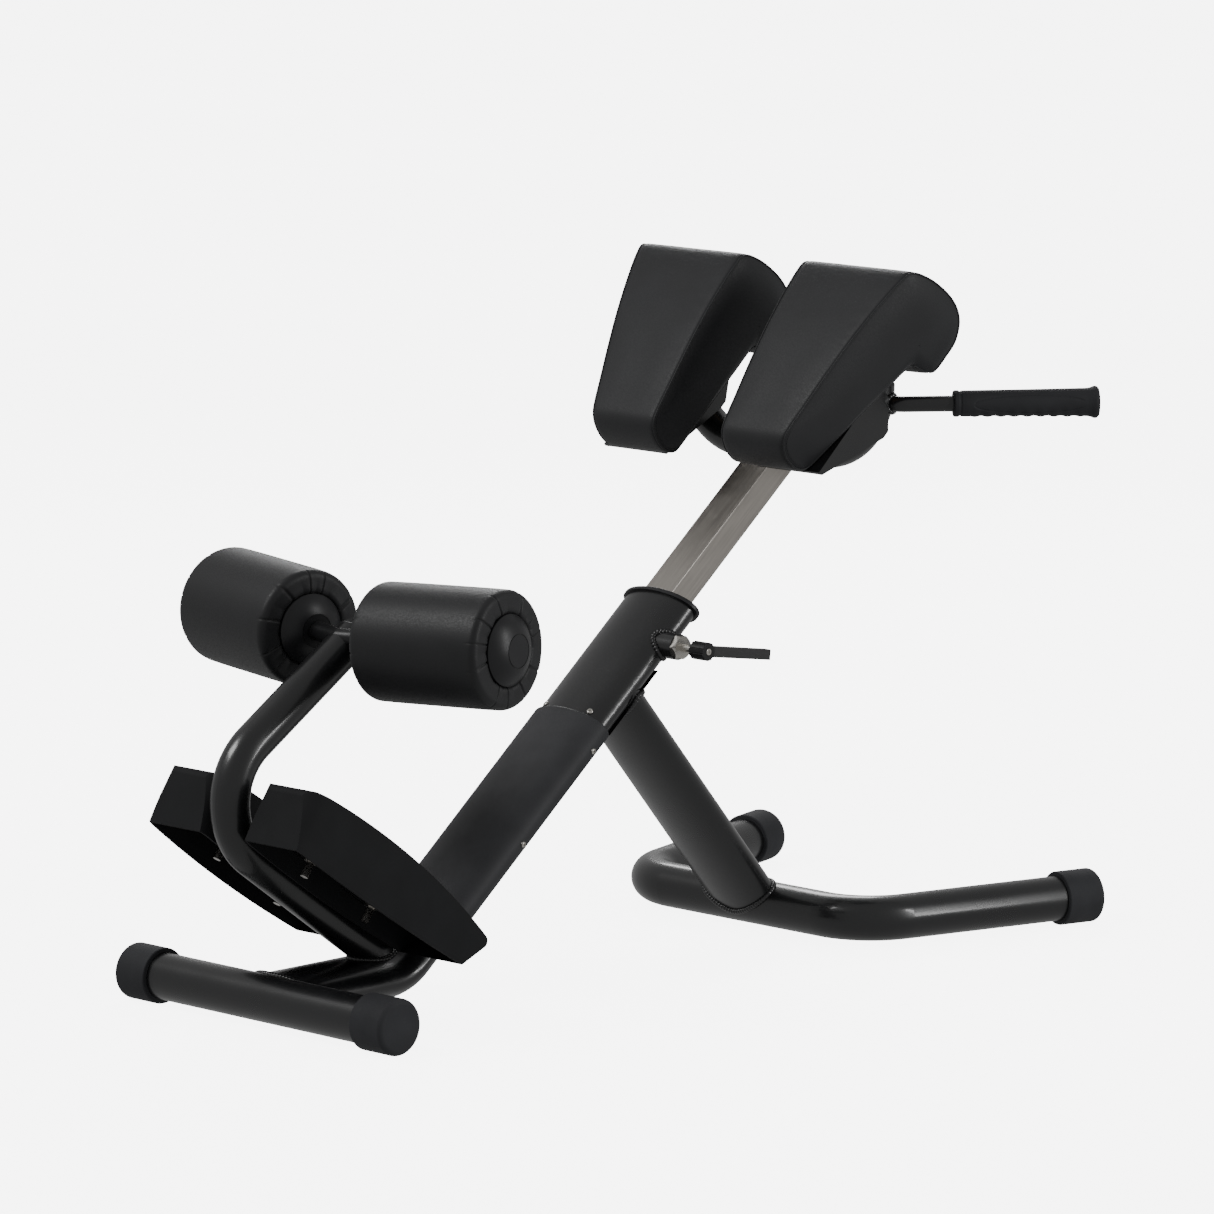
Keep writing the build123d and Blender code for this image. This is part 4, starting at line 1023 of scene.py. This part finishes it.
@dataclass
class Welds:
    """The weld beads at the joints of the frame and of the pad head."""

    size: float = 3.2

    def frame_lines(self) -> list[Array]:
        """Weld lines on the fixed frame, in millimetres."""
        across = np.array([0.0, 1.0, 0.0])
        lower = radians(35.8)
        post_dir = np.array([-cos(lower), 0.0, sin(lower)])
        post_up = np.array([sin(lower), 0.0, cos(lower)])
        start = np.array([ELBOW[0] + 29.5, 0.0, TUBE_Z])
        post = weld_line(section(start, across, post_up, (25.6, 25.6)), post_dir, beam_depth, 160.0)
        clamp = on_main(590.0)
        right = np.array([0.0, -1.0, 0.0])
        boss = weld_line(section(clamp, MAIN_DIR, MAIN_UP, (17.6, 17.6)), right, beam_depth, 90.0)
        leg_top = on_main(508.0)
        base = np.array([FOOT_X + 872.0, 0.0, TUBE_Z])
        leg_dir = unit(base - leg_top)
        leg_up = np.cross(leg_dir, across)
        leg_ring = section(base, across, leg_up, (60.6, 28.6))
        foot = weld_line(leg_ring, -leg_dir, rod_depth(base, across, 30.0), 90.0)

        def saddle(points: Array) -> Array:
            """The oval of the saddle plate."""
            off = points - ELBOW
            return (off[..., 1] / 65.0) ** 2 + ((off @ MAIN_UP) / 33.0) ** 2 - 1.0

        head = weld_line(section(leg_top, across, leg_up, (60.6, 28.6)), leg_dir, saddle, 130.0)
        toe = np.array([FOOT_X, 0.0, TUBE_Z])
        oval = section(toe, across, np.array([0.0, 0.0, 1.0]), (60.5, 28.5))
        front = weld_line(oval, np.array([1.0, 0.0, 0.0]), rod_depth(toe, across, 30.0), 60.0)
        return [post, boss, foot, head, front]

    def head_lines(self) -> list[Array]:
        """Weld lines on the pad head, in millimetres."""
        across = np.array([0.0, 1.0, 0.0])
        cradle = np.array([FOOT_X + 937.4, 0.0, 638.9])
        along = (cradle[0] - ELBOW[0]) / cos(TILT)
        angle = np.linspace(0, 2 * pi, 160, endpoint=False)
        c, s = np.cos(angle), np.sin(angle)
        rim = np.maximum(np.abs(c) / 25.3, np.abs(s) / 20.3)[:, None]
        box = on_main(along - 60.0) + (across * c[:, None] + MAIN_UP * s[:, None]) / rim
        tube = rod_depth(cradle, across, 22.0)

        def outside_first(points: Array) -> Array:
            """Below 0 before the line meets the cradle tube."""
            return -tube(points)

        post = weld_line(box, MAIN_DIR, outside_first, 60.0)
        lines = [post]
        for sign in (1, -1):
            arm = np.array([FOOT_X + 937.4, 169.5 * sign, 712.0])
            out = unit(np.array([7.0, 32.0 * sign, 0.0]))
            flat = np.cross(out, np.array([0.0, 0.0, 1.0]))
            ring = section(arm, flat, np.array([0.0, 0.0, 1.0]), (10.9, 10.9), 90)
            lines.append(weld_line(ring, out, rod_depth(arm, np.array([0.0, 0.0, 1.0]), 22.0), 60.0))
        return lines

    def build(self) -> None:
        """Make the beads on both bodies."""
        for name, body, lines in (
            ("frame_welds", Body.FRAME, self.frame_lines()),
            ("head_welds", Body.HEAD, self.head_lines()),
        ):
            made = Surface()
            for line in lines:
                even = spread(line, max(120, int(len(line) * 3)))
                bead(made, even * MM, self.size * MM, ripple=0.28, pitch=4.5 * MM, around=10)
            place(made.object(name), body, (Finish.PAINT,), "frame_paint")


# ------------------------------------------------------------------ carried-over nodes
@dataclass
class CarriedNodes:
    """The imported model's own nodes, each with its finish."""

    finishes: dict[Finish, tuple[str, ...]] = field(default_factory=lambda: {
        Finish.PAINT: ("front_foot_tube", "base_tube", "main_beam", "leg_saddle", "rear_leg", "clamp_boss",
                       "roller_post", "plate_bar_upper", "plate_bar_lower", "cradle_tube", "pad_bracket_left",
                       "pad_bracket_right", "handle_left", "handle_right"),
        Finish.SHROUD: ("shroud_upper", "shroud_lower"),
        Finish.NYLON: ("guide_bush_upper", "guide_bush_lower", "post_end_cap", "roller_post_cap",
                       "plate_spacers", "cradle_plug_left", "cradle_plug_right", "roller_sleeve_left",
                       "roller_sleeve_right"),
        Finish.POST: ("slide_post",),
        Finish.ZINC: ("clamp_nut", "clamp_stud", "guide_screws", "lever_screw", "footplate_bolts",
                      "footplate_washers", "footplate_nuts", "pad_bolts", "lever_insert", "lever_spring",
                      "roller_retainers", "shroud_screws"),
        Finish.OXIDE: ("saddle_bolts", "roller_axle"),
        Finish.CAP: ("front_cap_left", "front_cap_right", "base_cap_left", "base_cap_right"),
        Finish.TREAD: ("footplate_left", "footplate_right"),
        Finish.VINYL: ("pad_left", "pad_right"),
        Finish.ROLLER_VINYL: ("roller_foam_left", "roller_foam_right"),
        Finish.KNOB: ("lever_handle",),
        Finish.HUB: ("roller_cap_outer_left", "roller_cap_outer_right", "roller_cap_inner_left",
                     "roller_cap_inner_right"),
        Finish.PLY: ("pad_board_left", "pad_board_right"),
        Finish.GRIP: ("grip_left", "grip_right"),
    })

    def build(self) -> None:
        """Dress every node."""
        for finish, names in self.finishes.items():
            for name in names:
                SHOP.dress(frame["nodes"][name], finish)
        log.info("%d nodes dressed", sum(len(names) for names in self.finishes.values()))


# ------------------------------------------------------------------ studio
@dataclass
class Studio:
    """A pale floor, soft boxes and the camera."""

    eye: tuple = (-6.5477, -6.5145, 1.9497)
    ahead: tuple = (0.70161, 0.69468, -0.15884)
    lens: float = 214.6
    floor_glow: float = 6.5

    def floor(self) -> None:
        """A wide pale floor that glows towards the camera but doesn't light the chair."""
        size = 30.0
        mesh = bpy.data.meshes.new("studio_floor")
        corners = [(-size, -size, 0), (size, -size, 0), (size, size, 0), (-size, size, 0)]
        mesh.from_pydata(corners, [], [(0, 1, 2, 3)])
        floor = bpy.data.objects.new("studio_floor", mesh)
        bpy.context.scene.collection.objects.link(floor)
        r = Recipe("pale_floor")
        tone = r.span(r.noise(0.7, 2.0), 0.3, 0.7, 0.0, 1.0)
        colour = r.mix(tone, (0.93, 0.93, 0.93, 1.0), (0.95, 0.95, 0.95, 1.0))
        mesh.materials.append(r.finish(
            Base_Color=colour, Roughness=0.9, Specular_IOR_Level=0.1,
            Emission_Color=colour, Emission_Strength=self.floor_glow,
        ))
        floor.visible_diffuse = False
        floor.visible_glossy = False

    def soft_box(self, name: str, at: tuple, size: tuple, watts: float, aim: tuple = (0.0, 0.0, 0.4)) -> None:
        """A rectangular area light aimed at a point."""
        data = bpy.data.lights.new(name, "AREA")
        data.shape = "RECTANGLE"
        data.size, data.size_y = size
        data.energy = watts
        lamp = bpy.data.objects.new(name, data)
        lamp.location = at
        lamp.rotation_euler = (Vector(aim) - Vector(at)).to_track_quat("-Z", "Y").to_euler()
        bpy.context.scene.collection.objects.link(lamp)

    def world(self, strength: float) -> None:
        """Even pale surroundings."""
        world = bpy.data.worlds.new("studio")
        bpy.context.scene.world = world
        world.use_nodes = True
        back = world.node_tree.nodes["Background"]
        back.inputs["Color"].default_value = (1.0, 1.0, 1.0, 1.0)
        back.inputs["Strength"].default_value = strength

    def camera(self) -> None:
        """The camera at the viewing angle."""
        data = bpy.data.cameras.new("camera")
        data.lens = self.lens
        data.sensor_width = 36.0
        data.clip_end = 100.0
        camera = bpy.data.objects.new("camera", data)
        ahead = Vector(self.ahead).normalized()
        right = ahead.cross(Vector((0, 0, 1))).normalized()
        up = right.cross(ahead)
        turn = Matrix((right, up, -ahead)).transposed()
        camera.matrix_world = Matrix.Translation(self.eye) @ turn.to_4x4()
        bpy.context.scene.collection.objects.link(camera)
        bpy.context.scene.camera = camera

    def build(self) -> None:
        """Set up the studio."""
        self.floor()
        self.world(0.42)
        self.soft_box("over_left", (-2.6, 1.6, 3.4), (1.6, 1.2), 70.0)
        self.soft_box("strip_right", (1.2, -3.4, 1.5), (0.3, 2.4), 45.0)
        self.soft_box("back_rim", (2.6, 2.6, 2.6), (1.2, 1.2), 45.0)
        self.camera()


def main() -> None:
    """Build every sub-assembly in order and report it."""
    logging.basicConfig(level=logging.INFO, format="%(name)s: %(message)s")
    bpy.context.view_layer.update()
    Studio().build()
    CarriedNodes().build()
    for side in Side:
        HipPad(side).build()
        AnkleRoller(side).build()
        HandGrip(side).build()
    Welds().build()


if __name__ == "__main__":
    main()
